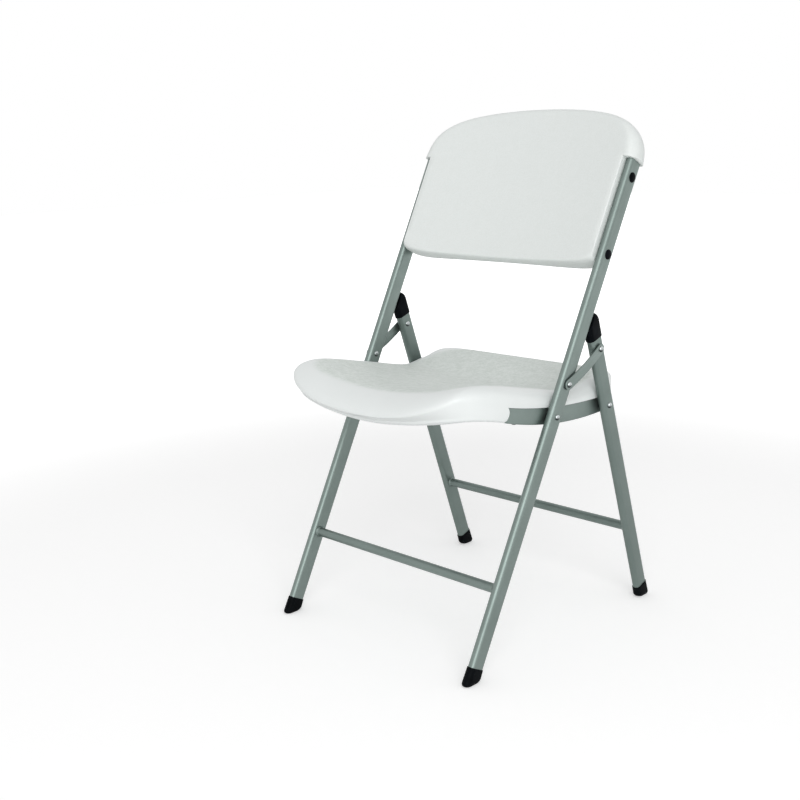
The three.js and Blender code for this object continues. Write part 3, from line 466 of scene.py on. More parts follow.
def makeTube(legName, sideName):
    run = tubeRuns[legName]
    onLeg = onFrontLeg if legName == "front" else onRearLeg
    middle = sides[sideName] * halfSpacing
    bore = 2 * tube["wall"]

    def ring(shrink, up):
        return ovalRing(tube["width"] - shrink, tube["depth"] - shrink, lambda x, y: onLeg(middle + x, y, up))

    steps = 24
    ups = [mix(run["from"], run["to"], i / steps) for i in range(steps + 1)]
    rings = [ring(0, up) for up in ups]
    rings += [ring(bore, up) for up in (ups[-1], ups[0])]
    piece = loftRings(f"{legName}Tube_{sideName}", rings, closed=True)
    return settle(piece, run["body"], "frame_paint", run["paint"], f"{legName}_tube_{sideName}")


crossbar = {"radius": 8.0, "wall": 1.2, "weldReach": 4.0, "weldRise": 2.2, "around": 48,
            "frontHeight": 154.6, "rearHeight": 155.6}


def makeCrossbar(legName):
    run = tubeRuns[legName]
    onLeg = onFrontLeg if legName == "front" else onRearLeg
    up = crossbar[f"{legName}Height"]
    end = innerFace - chairLayout["gap"]
    radius, reach, rise = crossbar["radius"], crossbar["weldReach"], crossbar["weldRise"]
    half = []
    for i in range(9):  # the rippled weld bead, from the bar's end inwards
        t = i / 8
        bead = rise * (1 - math.sin(t * math.pi / 2)) * (1 - 0.25 * math.sin(t * math.pi * 3) ** 2 * t)
        half.append((radius + bead, end - reach * 1.3 * t))
    inner = radius - crossbar["wall"]
    profile = [(inner, -end)] + [(r, -x) for r, x in half]
    profile += [(r, x) for r, x in reversed(half)] + [(inner, end)]
    rings = [[onLeg(x, y, up + z) for y, z in roundPoints(r, crossbar["around"])] for r, x in profile]
    piece = loftRings(f"{legName}Crossbar", rings, closed=True)
    return settle(piece, run["body"], "frame_paint", run["paint"], f"{legName}_crossbar")


foot = {"wall": 1.2, "flare": 0.45, "height": 26.5, "sole": 14.0, "toe": 7.0, "side": 3.0, "rounding": 7.0}


def makeFoot(legName, sideName):
    onLeg = onFrontLeg if legName == "front" else onRearLeg
    lean = math.radians(chairLayout[f"{legName}Lean"])
    slope = math.tan(lean) if legName == "front" else -math.tan(lean)
    middle = sides[sideName] * halfSpacing
    soleWidth = tube["width"] + 2 * (foot["wall"] + foot["flare"])
    soleDepth = tube["depth"] + 2 * (foot["wall"] + foot["flare"])
    rings = [[onLeg(middle, 0, 0)]]
    for i in range(13):
        turn = i / 12 * math.pi / 2
        drawn = 2 * (1 - math.sin(turn))
        rise = foot["rounding"] * (1 - math.cos(turn))
        rings.append(ovalRing(soleWidth - foot["side"] * drawn, soleDepth - foot["toe"] * drawn,
                              lambda x, y, rise=rise: onLeg(middle + x, y, y * slope + rise)))

    def sleeve(by, up):
        return ovalRing(tube["width"] + 2 * by, tube["depth"] + 2 * by, lambda x, y: onLeg(middle + x, y, up))

    wall, height = foot["wall"], foot["height"]
    for share in (0.25, 0.5, 0.75):  # from the sloping sole to the square top of the sleeve
        def between(x, y, share=share):
            return onLeg(middle + x, y, mix(y * slope + foot["rounding"], height - 2.5, share))
        by = mix(wall + foot["flare"], wall, share)
        rings.append(ovalRing(tube["width"] + 2 * by, tube["depth"] + 2 * by, between))
    rims = ((0, 2.2), (0, 0.8), (0.25, 0.2), (0.6, 0))
    rings += [sleeve(wall - drawnIn, height - below) for drawnIn, below in rims]
    rings += [sleeve(chairLayout["gap"], height), sleeve(chairLayout["gap"], foot["sole"])]
    rings.append([onLeg(middle, 0, foot["sole"])])
    piece = loftRings(f"{legName}Foot_{sideName}", rings, sharpAngle=50)
    return settle(piece, tubeRuns[legName]["body"], "foot_rubber", blackRubber, f"{legName}_foot_{sideName}")


for legName in ("front", "rear"):
    makeCrossbar(legName)
    for sideName in sides:
        makeTube(legName, sideName)
        makeFoot(legName, sideName)
print("frame: tubes, crossbars and feet")


# ---- caps on the rear tubes

cap = {"wall": 1.6, "sideWall": 1.3, "skirt": 8.8, "shoulder": 19.0,
       "crown": 15.0, "crownWidth": 4.0, "crownDepth": 8.0}


def makeCap(sideName):
    middle = sides[sideName] * halfSpacing
    frontLean = math.radians(chairLayout["frontLean"])
    face = tube["depth"] / 2 + chairLayout["gap"]
    normal = Vector((0, math.cos(frontLean), -math.sin(frontLean)))  # square to the front tube, backwards
    onFace = onFrontLeg(middle, face, 0)
    slide = onRearLeg(0, 1, 0) - onRearLeg(0, 0, 0)  # square to the rear leg, one millimetre back

    def at(up):
        def point(x, y):
            p = onRearLeg(middle + x, y, up)
            short = normal.dot(onFace - p)
            if short > 0:
                p = p + slide * (short / normal.dot(slide))  # flat flank that bears on the front tube
            return p
        return point

    width = tube["width"] + 2 * cap["sideWall"]
    depth = tube["depth"] + 2 * cap["wall"]
    gap = chairLayout["gap"]
    bottom, shoulder = rearTubeTop - cap["skirt"], rearTubeTop + cap["shoulder"]

    def plain(by, up):
        return ovalRing(tube["width"] + 2 * by, tube["depth"] + 2 * by, at(up))

    rings = [[onRearLeg(middle, 0, rearTubeTop + gap)], plain(gap, rearTubeTop + gap), plain(gap, bottom)]
    for slim, rise in ((1, 0), (0.3, 0.3), (0, 1)):
        rings.append(ovalRing(width - slim, depth - slim, at(bottom + rise)))
    rings += [ovalRing(width, depth, at(mix(bottom + 1, shoulder, i / 8))) for i in range(1, 9)]
    for i in range(1, 13):
        angle = i / 12 * math.pi / 2
        slim = 1 - math.cos(angle)
        across, along = mix(width, cap["crownWidth"], slim), mix(depth, cap["crownDepth"], slim)
        rings.append(ovalRing(across, along, at(shoulder + cap["crown"] * math.sin(angle))))
    rings.append([at(shoulder + cap["crown"])(0, 0)])
    piece = loftRings(f"rearCap_{sideName}", rings, sharpAngle=40)
    return settle(piece, "rear_frame", "black_plastic", blackPlastic, f"rear_cap_{sideName}")


for sideName in sides:
    makeCap(sideName)
print("caps on the rear tubes")


# ---- back panel

back = {
    "bottom": 688.5, "bottomArch": 4.0, "top": 967.65, "topRadius": 800.0, "halfWidth": outerFace + 6.5,
    "topSquareness": 5.5, "bottomSquareness": 9.0, "frontAtSides": -23.0, "hollow": 18.5, "rearFace": 18.1,
    "frontEdge": {"side": 20.0, "top": 11.0, "bottom": 5.0, "fullness": 0.8},
    "rearEdge": {"side": 9.0, "top": 11.0, "bottom": 5.0, "fullness": 0.55},
    "hoodMouth": 11.0, "sideRounding": 2.8, "around": 200, "edgeSteps": 18, "blowHole": 4.0,
}


def directionsRound(count, crowding=0.6):
    def spread(value):
        return math.copysign(abs(value) ** crowding, value)
    turns = [(i + 0.5) * 2 * math.pi / count for i in range(count)]
    return [math.atan2(spread(math.sin(t)), spread(math.cos(t))) for t in turns]


def superellipse(angle, halfWidth, halfLength, low, high):
    c, s = math.cos(angle), math.sin(angle)
    n = low if s < 0 else high
    radius = (abs(c) ** n + abs(s) ** n) ** (-1 / n)
    return halfWidth * radius * c, halfLength * radius * s


backHalfHeight = (back["top"] - back["bottom"]) / 2
backMiddle = (back["top"] + back["bottom"]) / 2


def backOutline(angle, sideInset, endInset):
    x, y = superellipse(angle, back["halfWidth"] - sideInset, backHalfHeight - endInset,
                        back["bottomSquareness"], back["topSquareness"])
    upper = clamp(0.5 + y / backHalfHeight)
    return x, (backMiddle + y - upper * x * x / (2 * back["topRadius"])
               + (1 - upper) * back["bottomArch"] * (1 - (x / back["halfWidth"]) ** 2))


def backFrontFace(x):
    share = min(1, abs(x) / (back["halfWidth"] - back["frontEdge"]["side"]))
    return back["frontAtSides"] + back["hollow"] * (1 - share ** 2)


def backRing(side, top, bottom, depthShare):
    ring = []
    for angle in directionsRound(back["around"]):
        x, up = backOutline(angle, side, top if math.sin(angle) > 0 else bottom)
        front = backFrontFace(x)
        ring.append(onFrontLeg(x, front + (back["rearFace"] - front) * depthShare, up))
    return ring


def besideTube(side):
    inner = innerFace - chairLayout["gap"]
    outer = back["halfWidth"] + 1
    front, rear, turn = backFrontFace(inner), back["rearFace"], back["sideRounding"]
    corner = [i / 6 for i in range(7)]
    shape = [(inner - turn, front - turn)]
    shape += [(inner - turn + turn * (2 * t * (1 - t) + t * t), front + turn * t * t) for t in corner]
    shape += [(inner - turn * t * t, rear - turn + turn * (2 * t * (1 - t) + t * t)) for t in corner]
    shape += [(inner - turn, rear + turn), (outer, rear + turn), (outer, front - turn)]
    low, high = back["bottom"] - turn, hoodStart
    rings = [[onFrontLeg(side * x, y, up) for x, y in shape] for up in (low, high)]
    return solidBetween("room", rings)


def hoodMouth(side):
    # rounds off the lower end of the hood's outer wall
    wall, edge = outerFace + chairLayout["gap"], back["halfWidth"]
    low, high = hoodStart - 1, hoodStart + back["hoodMouth"]
    shape = [(wall, low), (wall, hoodStart)]
    for i in range(1, 11):
        t = i / 10
        shape.append((mix(wall, edge, 2 * t * (1 - t) + t * t), mix(hoodStart, high, t * t)))
    shape += [(edge + 1, high), (edge + 1, low)]
    ends = (back["frontAtSides"] - 1, back["rearFace"] + 1)
    return solidBetween("mouth", [[onFrontLeg(side * x, y, up) for x, up in shape] for y in ends])


def solidBetween(name, rings):
    # a prism from a stack of outlines, with flat ends
    bm = bmesh.new()
    rows = [[bm.verts.new(p) for p in ring] for ring in rings]
    for low, high in zip(rows, rows[1:]):
        for i in range(len(low)):
            j = (i + 1) % len(low)
            bm.faces.new((low[i], low[j], high[j], high[i]))
    bm.faces.new(list(reversed(rows[0])))
    bm.faces.new(rows[-1])
    return finishMesh(name, bm)


def makeBack():
    def ringAt(edge, share, depthShare):
        return backRing(edge["side"] * share, edge["top"] * share, edge["bottom"] * share, depthShare)

    def faceRing(edge, share, depthShare):
        return backRing(mix(edge["side"], back["halfWidth"], share), mix(edge["top"], backHalfHeight, share),
                        mix(edge["bottom"], backHalfHeight, share), depthShare)

    centre = backOutline(math.pi / 2, back["halfWidth"], backHalfHeight)[1]
    shares = [0.96, 0.9, 0.8, 0.7, 0.6, 0.5, 0.4, 0.3, 0.2, 0.12, 0.06]
    rings = [[onFrontLeg(0, back["rearFace"], centre)]]
    rings += [faceRing(back["rearEdge"], share, 1) for share in shares]
    steps = back["edgeSteps"]
    for i in range(steps, -1, -1):
        angle = i / steps * math.pi
        edge = back["rearEdge"] if 2 * i > steps else back["frontEdge"]
        drawn = 1 - math.sin(angle) ** edge["fullness"] if 0 < i < steps else 1
        rings.append(ringAt(edge, drawn, 0.5 - 0.5 * math.cos(angle)))
    rings += [faceRing(back["frontEdge"], share, 0) for share in reversed(shares)]
    rings.append([onFrontLeg(0, backFrontFace(0), centre)])
    panel = loftRings("backPanel", rings)
    gap = chairLayout["gap"]

    def socketRing(side, up):
        return ovalRing(tube["width"] + 2 * gap, tube["depth"] + 2 * gap,
                        lambda x, y: onFrontLeg(side * halfSpacing + x, y, up))

    cutters = [besideTube(side) for side in sides.values()] + [hoodMouth(side) for side in sides.values()]
    for side in sides.values():
        ends = [socketRing(side, up) for up in (hoodStart - 1, frontTubeTop + gap)]
        cutters.append(solidBetween("socket", ends))
    ventHeight, ring = backMiddle - backHalfHeight / 2, roundPoints(back["blowHole"], 40)
    vent = [[onFrontLeg(x, back["rearFace"] + y, ventHeight + up) for x, up in ring] for y in (-4, 3)]
    cutters.append(solidBetween("vent", vent))
    cutAway(panel, cutters, sharpAngle=38)

    def grainMask(sheet):
        return sheet.remap(sheet.noise(3, 1), 0, 1, 0.85, 1.0)

    plastic = makeWhitePlastic("backPlastic", grainMask, plasticLook["mottled"]["back"])
    return settle(panel, "front_frame", "white_plastic", plastic, "back_panel")


makeBack()
print("back panel")


# ---- seat

def sideView(point):
    return point.y / mm + chairLayout["middle"], point.z / mm


pivotOnSeat = {"front": sideView(pivotPoints["seatFront"]), "rear": sideView(pivotPoints["seatRear"])}
rail = {
    "thickness": 2.5, "height": 27.4, "endHeight": 24.5, "bendRadius": 870.0, "flange": 14.0, "edge": 0.5,
    "front": pivotOnSeat["front"][0] - 105, "rear": pivotOnSeat["rear"][0] + 30,
    "endSweep": 3.7, "endBulge": 8.0, "endHandle": 0.4, "steps": 40,
}
seat = {
    "front": rail["front"] - 124.95, "rear": rail["rear"] + 32, "halfWidth": innerFace - 2.6,
    "frontSquareness": 4.8, "rearSquareness": 10.0, "panThickness": 20.0, "rimWidth": 13.0, "rimDraft": 8.0,
    "rivetRoom": 3.7, "lipRadius": 5.0, "skirtTuck": 0.5, "skirtDrop": 1.2, "around": 240, "blowHole": 4.0,
}
noseRoll = {"width": 52.0, "drop": 27.0, "cornerDrop": 15.0, "tuck": 14.0, "cornerTuck": 7.5,
            "startsAt": 0.55, "fullAt": 0.98}
sideRoll = {"width": 26.0, "drop": 22.0, "tuck": 1.5}
rearRoll = {"width": 10.0, "drop": 10.0, "tuck": 1.5, "startsAt": 0.72, "fullAt": 0.94}
noseLip = {"climb": 0.245, "sweep": 33.0, "spread": 1.9, "end": 87.0}
# height of the seat's side edge over the front pivot, and how far the middle lies below it, at places
# behind the pivot
sideHeights = [(-231, 68.5), (-178, 74.5), (-113, 65), (-13, 43.5), (81, 25), (132, 31), (208, 40.5)]
dishDepths = [(-231, 26), (-173, 26), (-53, 18), (82, 7), (197, 0)]
washer = {"radius": 8.0, "thickness": 2.8}
railOuter = innerFace - washer["thickness"] - 2 * chairLayout["gap"]
railInner = railOuter - rail["thickness"]

seatHalfLength = (seat["rear"] - seat["front"]) / 2
seatMiddle = (seat["rear"] + seat["front"]) / 2


def seatTop(x, y):
    share = min(1, abs(x) / (seat["halfWidth"] - sideRoll["width"]))
    behind = y - pivotOnSeat["front"][0]
    edge = pivotOnSeat["front"][1] + smoothThrough(sideHeights, behind)
    return edge - smoothThrough(dishDepths, behind) * (1 - share ** 2)


def railMiddle(y):
    front, rear = pivotOnSeat["front"], pivotOnSeat["rear"]
    straight = mix(front[1], rear[1], (y - front[0]) / (rear[0] - front[0]))
    return straight + (y - front[0]) * (y - rear[0]) / (2 * rail["bendRadius"])


def railHalfHeight(y):
    share = (2 * y - rail["front"] - rail["rear"]) / (rail["rear"] - rail["front"])
    return (rail["height"] - (rail["height"] - rail["endHeight"]) * share ** 2) / 2


def seatLip(x, y):
    railed = clamp(y, rail["front"], rail["rear"])
    height = railMiddle(railed) - railHalfHeight(railed)
    if y < rail["front"]:
        height += (rail["front"] - y) * noseLip["climb"]
    share = min(1, abs(x) / (seat["halfWidth"] - seat["lipRadius"]))
    sweep = smoothStep(rail["front"] - y, 0, noseLip["end"])
    return height - sweep * noseLip["sweep"] * (1 - share ** noseLip["spread"])


def rollAt(angle):
    x, y = superellipse(angle, 1, 1, seat["frontSquareness"], seat["rearSquareness"])
    frontShare = smoothStep(-y, noseRoll["startsAt"], noseRoll["fullAt"])
    rearShare = smoothStep(y, rearRoll["startsAt"], rearRoll["fullAt"])
    corner = abs(x) ** 3
    nose = {"width": noseRoll["width"], "drop": mix(noseRoll["drop"], noseRoll["cornerDrop"], corner),
            "tuck": mix(noseRoll["tuck"], noseRoll["cornerTuck"], corner)}
    roll = {}
    for key, side in sideRoll.items():
        roll[key] = side + frontShare * (nose[key] - side) + rearShare * (rearRoll[key] - side)
    return roll


def seatOutline(angle, inset):
    x, y = superellipse(angle, seat["halfWidth"] - inset, seatHalfLength - inset,
                        seat["frontSquareness"], seat["rearSquareness"])
    return x, y + seatMiddle


def seatRing(point):
    return [place(*point(angle)) for angle in directionsRound(seat["around"])]


def towardsEdge(edge, share):
    return edge[0] * share, mix(seatMiddle, edge[1], share)


def eased(t, startSlope):
    return startSlope * t * (1 - t) + t * t


def seatForm():
    rings = [[place(0, seatMiddle, seatTop(0, seatMiddle))]]
    for share in (0.06, 0.12, 0.2, 0.3, 0.4, 0.5, 0.6, 0.7, 0.78, 0.86, 0.93):
        def facePoint(angle, share=share):
            x, y = towardsEdge(seatOutline(angle, rollAt(angle)["width"]), share)
            return x, y, seatTop(x, y)
        rings.append(seatRing(facePoint))
    for i in range(15):
        def rollPoint(angle, turn=i / 14 * math.pi / 2):
            roll = rollAt(angle)
            x, y = seatOutline(angle, roll["width"] * (1 - math.sin(turn)))
            return x, y, seatTop(x, y) - roll["drop"] * (1 - math.cos(turn))
        rings.append(seatRing(rollPoint))
    for i in range(1, 10):
        def skirtPoint(angle, t=i / 9):
            roll = rollAt(angle)
            wide = seatOutline(angle, 0)
            high = seatTop(*wide) - roll["drop"]
            x, y = seatOutline(angle, roll["tuck"] * eased(t, seat["skirtTuck"]))
            return x, y, mix(high, seatLip(x, y) + seat["lipRadius"], eased(t, seat["skirtDrop"]))
        rings.append(seatRing(skirtPoint))
    for i in range(1, 7):
        def lipPoint(angle, turn=i / 6 * math.pi / 2):
            x, y = seatOutline(angle, rollAt(angle)["tuck"] + seat["lipRadius"] * (1 - math.cos(turn)))
            return x, y, seatLip(x, y) + seat["lipRadius"] * (1 - math.sin(turn))
        rings.append(seatRing(lipPoint))

    def rimInner(angle):
        return rollAt(angle)["tuck"] + seat["lipRadius"] + seat["rimWidth"]

    def underside(x, y):
        return seatTop(x, y) - seat["panThickness"]

    def rimPoint(angle):
        x, y = seatOutline(angle, rimInner(angle))
        return x, y, seatLip(x, y)

    def panEdge(angle):
        return seatOutline(angle, max(rimInner(angle) + seat["rimDraft"], rollAt(angle)["width"]))

    rings.append(seatRing(rimPoint))
    for i in range(1, 7):
        def wallPoint(angle, t=i / 6):
            low = rimPoint(angle)
            x, y = panEdge(angle)
            return mix(low[0], x, t), mix(low[1], y, t), mix(low[2], underside(x, y), t)
        rings.append(seatRing(wallPoint))
    for share in (0.9, 0.78, 0.64, 0.5, 0.36, 0.22, 0.1):
        def panPoint(angle, share=share):
            x, y = towardsEdge(panEdge(angle), share)
            return x, y, underside(x, y)
        rings.append(seatRing(panPoint))
    rings.append([place(0, seatMiddle, underside(0, seatMiddle))])
    return loftRings("seatShell", rings)


def railOutline(margin):
    low, high = rail["front"] - margin, rail["rear"] + margin
    lower, upper = [], []
    for i in range(rail["steps"] + 1):
        y = mix(low, high, i / rail["steps"])
        half = railHalfHeight(clamp(y, rail["front"], rail["rear"])) + margin
        lower.append((y, railMiddle(y) - half))
        upper.append((y, railMiddle(y) + half))
    return lower, upper


def railShape(margin, below):
    lower, upper = railOutline(margin)
    bottom, top = lower[0], upper[0]
    shape = [bottom] if below else []
    shape += [(y, z - below) for y, z in lower]
    shape += list(reversed(upper[1:]))
    start = (top[0] + rail["endSweep"], top[1])
    swell, bulge = rail["endHeight"] * rail["endHandle"], rail["endBulge"]
    handles = ((start[0] + bulge, start[1] - swell), (bottom[0] + bulge, bottom[1] + swell))
    for i in range(13):
        t = i / 12
        weights = ((1 - t) ** 3, 3 * t * (1 - t) ** 2, 3 * t * t * (1 - t), t ** 3)
        points = (start, handles[0], handles[1], bottom)
        shape.append(tuple(sum(w * p[axis] for w, p in zip(weights, points)) for axis in (0, 1)))
    shape.pop()
    return shape


def flangeShape(margin, below):
    lower = railOutline(margin)[0]
    shape = [(y, z - below) for y, z in lower]
    return shape + [(y, z + rail["thickness"] + 2 * margin) for y, z in reversed(lower)]


def makeSeat():
    shell = seatForm()
    cutters = []
    gap = chairLayout["gap"]
    for side in sides.values():
        outside, below = seat["halfWidth"] + 1, rail["height"] / 2
        for shape, inner in ((railShape(gap, below), railInner - seat["rivetRoom"]),
                             (flangeShape(gap, below), railInner - rail["flange"] - gap)):
            low, high = sorted((side * inner, side * outside))
            cutters.append(extrudeAcross("room", shape, low, high))
    ventPlace = seatMiddle - seatHalfLength / 3
    ventTop = seatTop(0, ventPlace) - seat["panThickness"]
    vent = [[place(x, ventPlace + y, ventTop + rise) for x, y in roundPoints(seat["blowHole"], 40)]
            for rise in (-4, 5)]
    cutters.append(solidBetween("vent", vent))
    cutAway(shell, cutters, sharpAngle=38)
    grainField = {"front": 18.0, "rear": 403.0, "halfWidth": 177.0, "corner": 60.0, "edge": 8.0}

    def grainMask(sheet):
        x, y, z = sheet.axes()
        halfLength = (grainField["rear"] - grainField["front"]) / 2
        middle = (grainField["rear"] + grainField["front"]) / 2 - chairLayout["middle"]
        corner = grainField["corner"] * mm
        across = sheet.beyond(x, grainField["halfWidth"] * mm - corner)
        along = sheet.beyond(sheet.math("SUBTRACT", y, middle * mm), halfLength * mm - corner)
        squares = [sheet.math("MULTIPLY", distance, distance) for distance in (across, along)]
        away = sheet.math("SQRT", sheet.math("ADD", *squares))
        edge = grainField["edge"] * mm
        inside = sheet.remap(away, corner - edge, corner + edge, 1, 0, smooth=True)
        upwards = sheet.remap(sheet.axes(sheet.facing)[2], 0, 0.2, 0, 1)
        return sheet.math("MULTIPLY", inside, upwards)

    plastic = makeWhitePlastic("seatPlastic", grainMask, plasticLook["mottled"]["seat"])
    return settle(shell, "seat", "white_plastic", plastic, "seat_shell")


def makeRail(sideName):
    side = sides[sideName]
    low, high = sorted((side * railInner, side * railOuter))
    web = extrudeAcross(f"seatRail_{sideName}", railShape(0, 0), low, high)
    low, high = sorted((side * (railInner - rail["flange"]), side * (railInner + 1)))
    flange = extrudeAcross("flange", flangeShape(0, 0), low, high)
    weld = web.modifiers.new("pressed", "BOOLEAN")
    weld.operation = "UNION"
    weld.solver = "EXACT"
    weld.object = flange
    applyModifiers(web)
    bpy.data.objects.remove(flange)
    roundEdges(web, rail["edge"], segments=3, edgeAngle=50)
    return settle(web, "seat", "frame_paint", paint, f"seat_rail_{sideName}")


makeSeat()
for sideName in sides:
    makeRail(sideName)
print("seat shell and rails")


# ---- links, rivets, washers, plugs and screws

link = {"width": 17.5, "thickness": 2.0, "bow": 3.0, "bossRadius": 6.5, "edge": 0.4}
rivet = {"shank": 3.0, "headRadius": 4.8, "headHeight": 3.0, "innerHeadHeight": 1.8}
plug = {"radius": 8.0, "dome": 3.0, "barrel": 6.2, "barrelLength": 4.5,
        "heights": {"lower": back["bottom"] + 25.5, "upper": hoodStart - 26.6}}
backScrew = {"radius": 2.2, "length": 17.0, "headRadius": 4.2, "headHeight": 2.2}
linkInner = outerFace + cap["sideWall"] + chairLayout["gap"]
linkOuter = linkInner + link["thickness"]


def linkOutline(length):
    # along the link: two round ends, and long edges that bow below the line through the rivets
    radius, bow = link["width"] / 2, link["bow"]
    turns = [math.pi * (i / 24 + 0.5) for i in range(25)]
    outline = [(radius * math.cos(a), radius * math.sin(a)) for a in turns]
    spans = [i / 20 for i in range(1, 20)]
    outline += [(length * t, -radius - 4 * bow * t * (1 - t)) for t in spans]
    outline += [(length - radius * math.cos(a), -radius * math.sin(a)) for a in turns]
    return outline + [(length * (1 - t), radius - 4 * bow * t * (1 - t)) for t in spans]


def makeLink(sideName):
    side = sides[sideName]
    front, rear = sideView(pivotPoints["linkFront"]), sideView(pivotPoints["linkRear"])
    lean = math.atan2(rear[1] - front[1], rear[0] - front[0])
    length = math.dist(front, rear)

    def inPlace(points):
        c, s = math.cos(lean), math.sin(lean)
        return [(front[0] + u * c - v * s, front[1] + u * s + v * c) for u, v in points]

    def circle(along, radius):
        return inPlace([(along + u, v) for u, v in roundPoints(radius, 32)])

    bore = rivet["shank"] + 0.1
    holes = [circle(along, bore) for along in (0, length)]
    low, high = sorted((side * linkInner, side * linkOuter))
    outline = inPlace(linkOutline(length))
    bar = extrudeAcross(f"linkBar_{sideName}", outline, low, high, bevel=link["edge"], holes=holes)
    low, high = sorted((side * (outerFace + chairLayout["gap"]), side * linkInner))
    for along, hole in zip((0, length), holes):  # pressed bosses that hold the bar clear of the cap
        boss = extrudeAcross("boss", circle(along, link["bossRadius"]), low, high, holes=[hole])
        bar = joined(bar, boss)
    return settle(bar, f"link_{sideName}", "frame_paint", paint, f"link_bar_{sideName}")


def headOf(radius, height, base, direction):
    # domed head with a small square shoulder at its rim
    rim = 0.5
    shoulder = [(radius, base), (radius, base + direction * rim * 0.6)]
    return shoulder + dome(radius - 0.15, height - rim, base + direction * rim, direction)


def threadRidges(radius, low, high, count, ridge):
    # (radius, height) points of the ridges along a screw's shank
    points = []
    for i in range(count):
        start = mix(low, high, i / count)
        points += [(radius - 0.35, start), (radius, start + ridge / 2), (radius - 0.35, start + ridge)]
    return points


def makeRivets(sideName):
    side = sides[sideName]
    gap = chairLayout["gap"]
    shank = rivet["shank"]

    def inner(base):
        return headOf(rivet["headRadius"], rivet["innerHeadHeight"], base, -1)[::-1] + [(shank, base)]

    def outer(base):
        return [(shank, base)] + headOf(rivet["headRadius"], rivet["headHeight"], base, 1)

    railRivet = inner(railInner - gap) + outer(outerFace + gap)
    linkRivet = inner(innerFace - gap) + outer(linkOuter + gap)
    linkPin = inner(innerFace - gap) + [(shank, outerFace), (0, outerFace)]
    linkHead = [(0, outerFace + gap), (shank, outerFace + gap)] + outer(linkOuter + gap)
    rivets = (
        ("frontSeatRivet", railRivet, "seatFront", "front_frame", "front_seat_rivet"),
        ("rearSeatRivet", railRivet, "seatRear", "rear_frame", "rear_seat_rivet"),
        ("frontLinkRivet", linkRivet, "linkFront", "front_frame", "front_link_rivet"),
        ("rearLinkPin", linkPin, "linkRear", "rear_frame", "rear_link_pin"),
        ("rearLinkRivet", linkHead, "linkRear", f"link_{sideName}", "rear_link_rivet"),
    )
    for name, profile, pivot, body, node in rivets:
        piece = turnedAcross(f"{name}_{sideName}", profile, side, pivotPoints[pivot])
        settle(piece, body, "zinc_steel", zinc, f"{node}_{sideName}")


def makeWashers(sideName):
    side = sides[sideName]
    near = railOuter + chairLayout["gap"]
    far = near + washer["thickness"]
    bore, radius, soft = rivet["shank"] + 0.1, washer["radius"], 0.4
    profile = [(bore, near), (radius - soft, near), (radius, near + soft)]
    profile += [(radius, far - soft), (radius - soft, far), (bore, far)]
    for name, pivot, node in (("frontSeatWasher", "seatFront", "front_seat_washer"),
                              ("rearSeatWasher", "seatRear", "rear_seat_washer")):
        rings = [[pivotPoints[pivot] + Vector((side * away, y, z)) * mm for y, z in roundPoints(r, 40)]
                 for r, away in profile]
        piece = loftRings(f"{name}_{sideName}", rings, closed=True)
        settle(piece, "seat", "black_plastic", blackPlastic, f"{node}_{sideName}")


def makePlugs(sideName):
    side = sides[sideName]
    base = outerFace + chairLayout["gap"] / 2
    seatFace = innerFace + tube["wall"] + chairLayout["gap"]
    tip = seatFace + backScrew["headHeight"] - backScrew["length"]
    barrelEnd, radius = base - plug["barrelLength"], backScrew["radius"]
    plugProfile = [(0, barrelEnd), (plug["barrel"], barrelEnd), (plug["barrel"], base)]
    plugProfile += headOf(plug["radius"], plug["dome"], base, 1)
    screwProfile = [(0, tip), (radius * 0.4, tip + 1.5)]
    screwProfile += threadRidges(radius, tip + 2.5, seatFace - 0.8, 10, 1.0) + [(radius - 0.2, seatFace)]
    screwProfile += dome(backScrew["headRadius"], backScrew["headHeight"], seatFace, 1)
    for level, up in plug["heights"].items():
        axisPoint = onFrontLeg(0, 0, up)
        piece = turnedAcross(f"backPlug_{sideName}_{level}", plugProfile, side, axisPoint)
        settle(piece, "front_frame", "black_plastic", blackPlastic, f"back_plug_{sideName}_{level}")
        piece = turnedAcross(f"backScrew_{sideName}_{level}", screwProfile, side, axisPoint)
        settle(piece, "front_frame", "zinc_steel", zinc, f"back_screw_{sideName}_{level}")


seatScrew = {"radius": 2.2, "length": 11.0, "headRadius": 4.0, "headHeight": 1.6}
seatScrewEnds = (rail["front"] + 28.5, rail["rear"] - 16.5)
seatScrewPlaces = (seatScrewEnds[0], sum(seatScrewEnds) / 2, seatScrewEnds[1])


def makeSeatScrews(sideName):
    side = sides[sideName]
    across = side * (railInner - rail["flange"] / 2)
    gap, radius, length = chairLayout["gap"], seatScrew["radius"], seatScrew["length"]
    profile = dome(seatScrew["headRadius"], seatScrew["headHeight"], -gap, -1)[::-1] + [(radius - 0.2, -gap)]
    profile += threadRidges(radius, 0.6, length - 3, 7, 0.9) + [(radius * 0.4, length - 1.2), (0, length)]
    for number, at in enumerate(seatScrewPlaces, 1):
        low = [railMiddle(y) - railHalfHeight(y) for y in (at - 1, at, at + 1)]
        slope = math.atan2(low[2] - low[0], 2)
        stand = Matrix.Translation(place(across, at, low[1])) @ Matrix.Rotation(slope, 4, "X")
        rings = []
        for r, up in profile:
            ring = roundPoints(r, 32) if r else [(0, 0)]
            rings.append([stand @ (Vector((x, y, up)) * mm) for x, y in ring])
        piece = loftRings(f"seatScrew_{sideName}_{number}", rings)
        settle(piece, "seat", "zinc_steel", zinc, f"seat_screw_{sideName}_{number}")


for sideName in sides:
    makeLink(sideName)
    makeRivets(sideName)
    makeWashers(sideName)
    makePlugs(sideName)
    makeSeatScrews(sideName)
print("links, rivets, washers, plugs and screws")


# ---- floor, light and camera

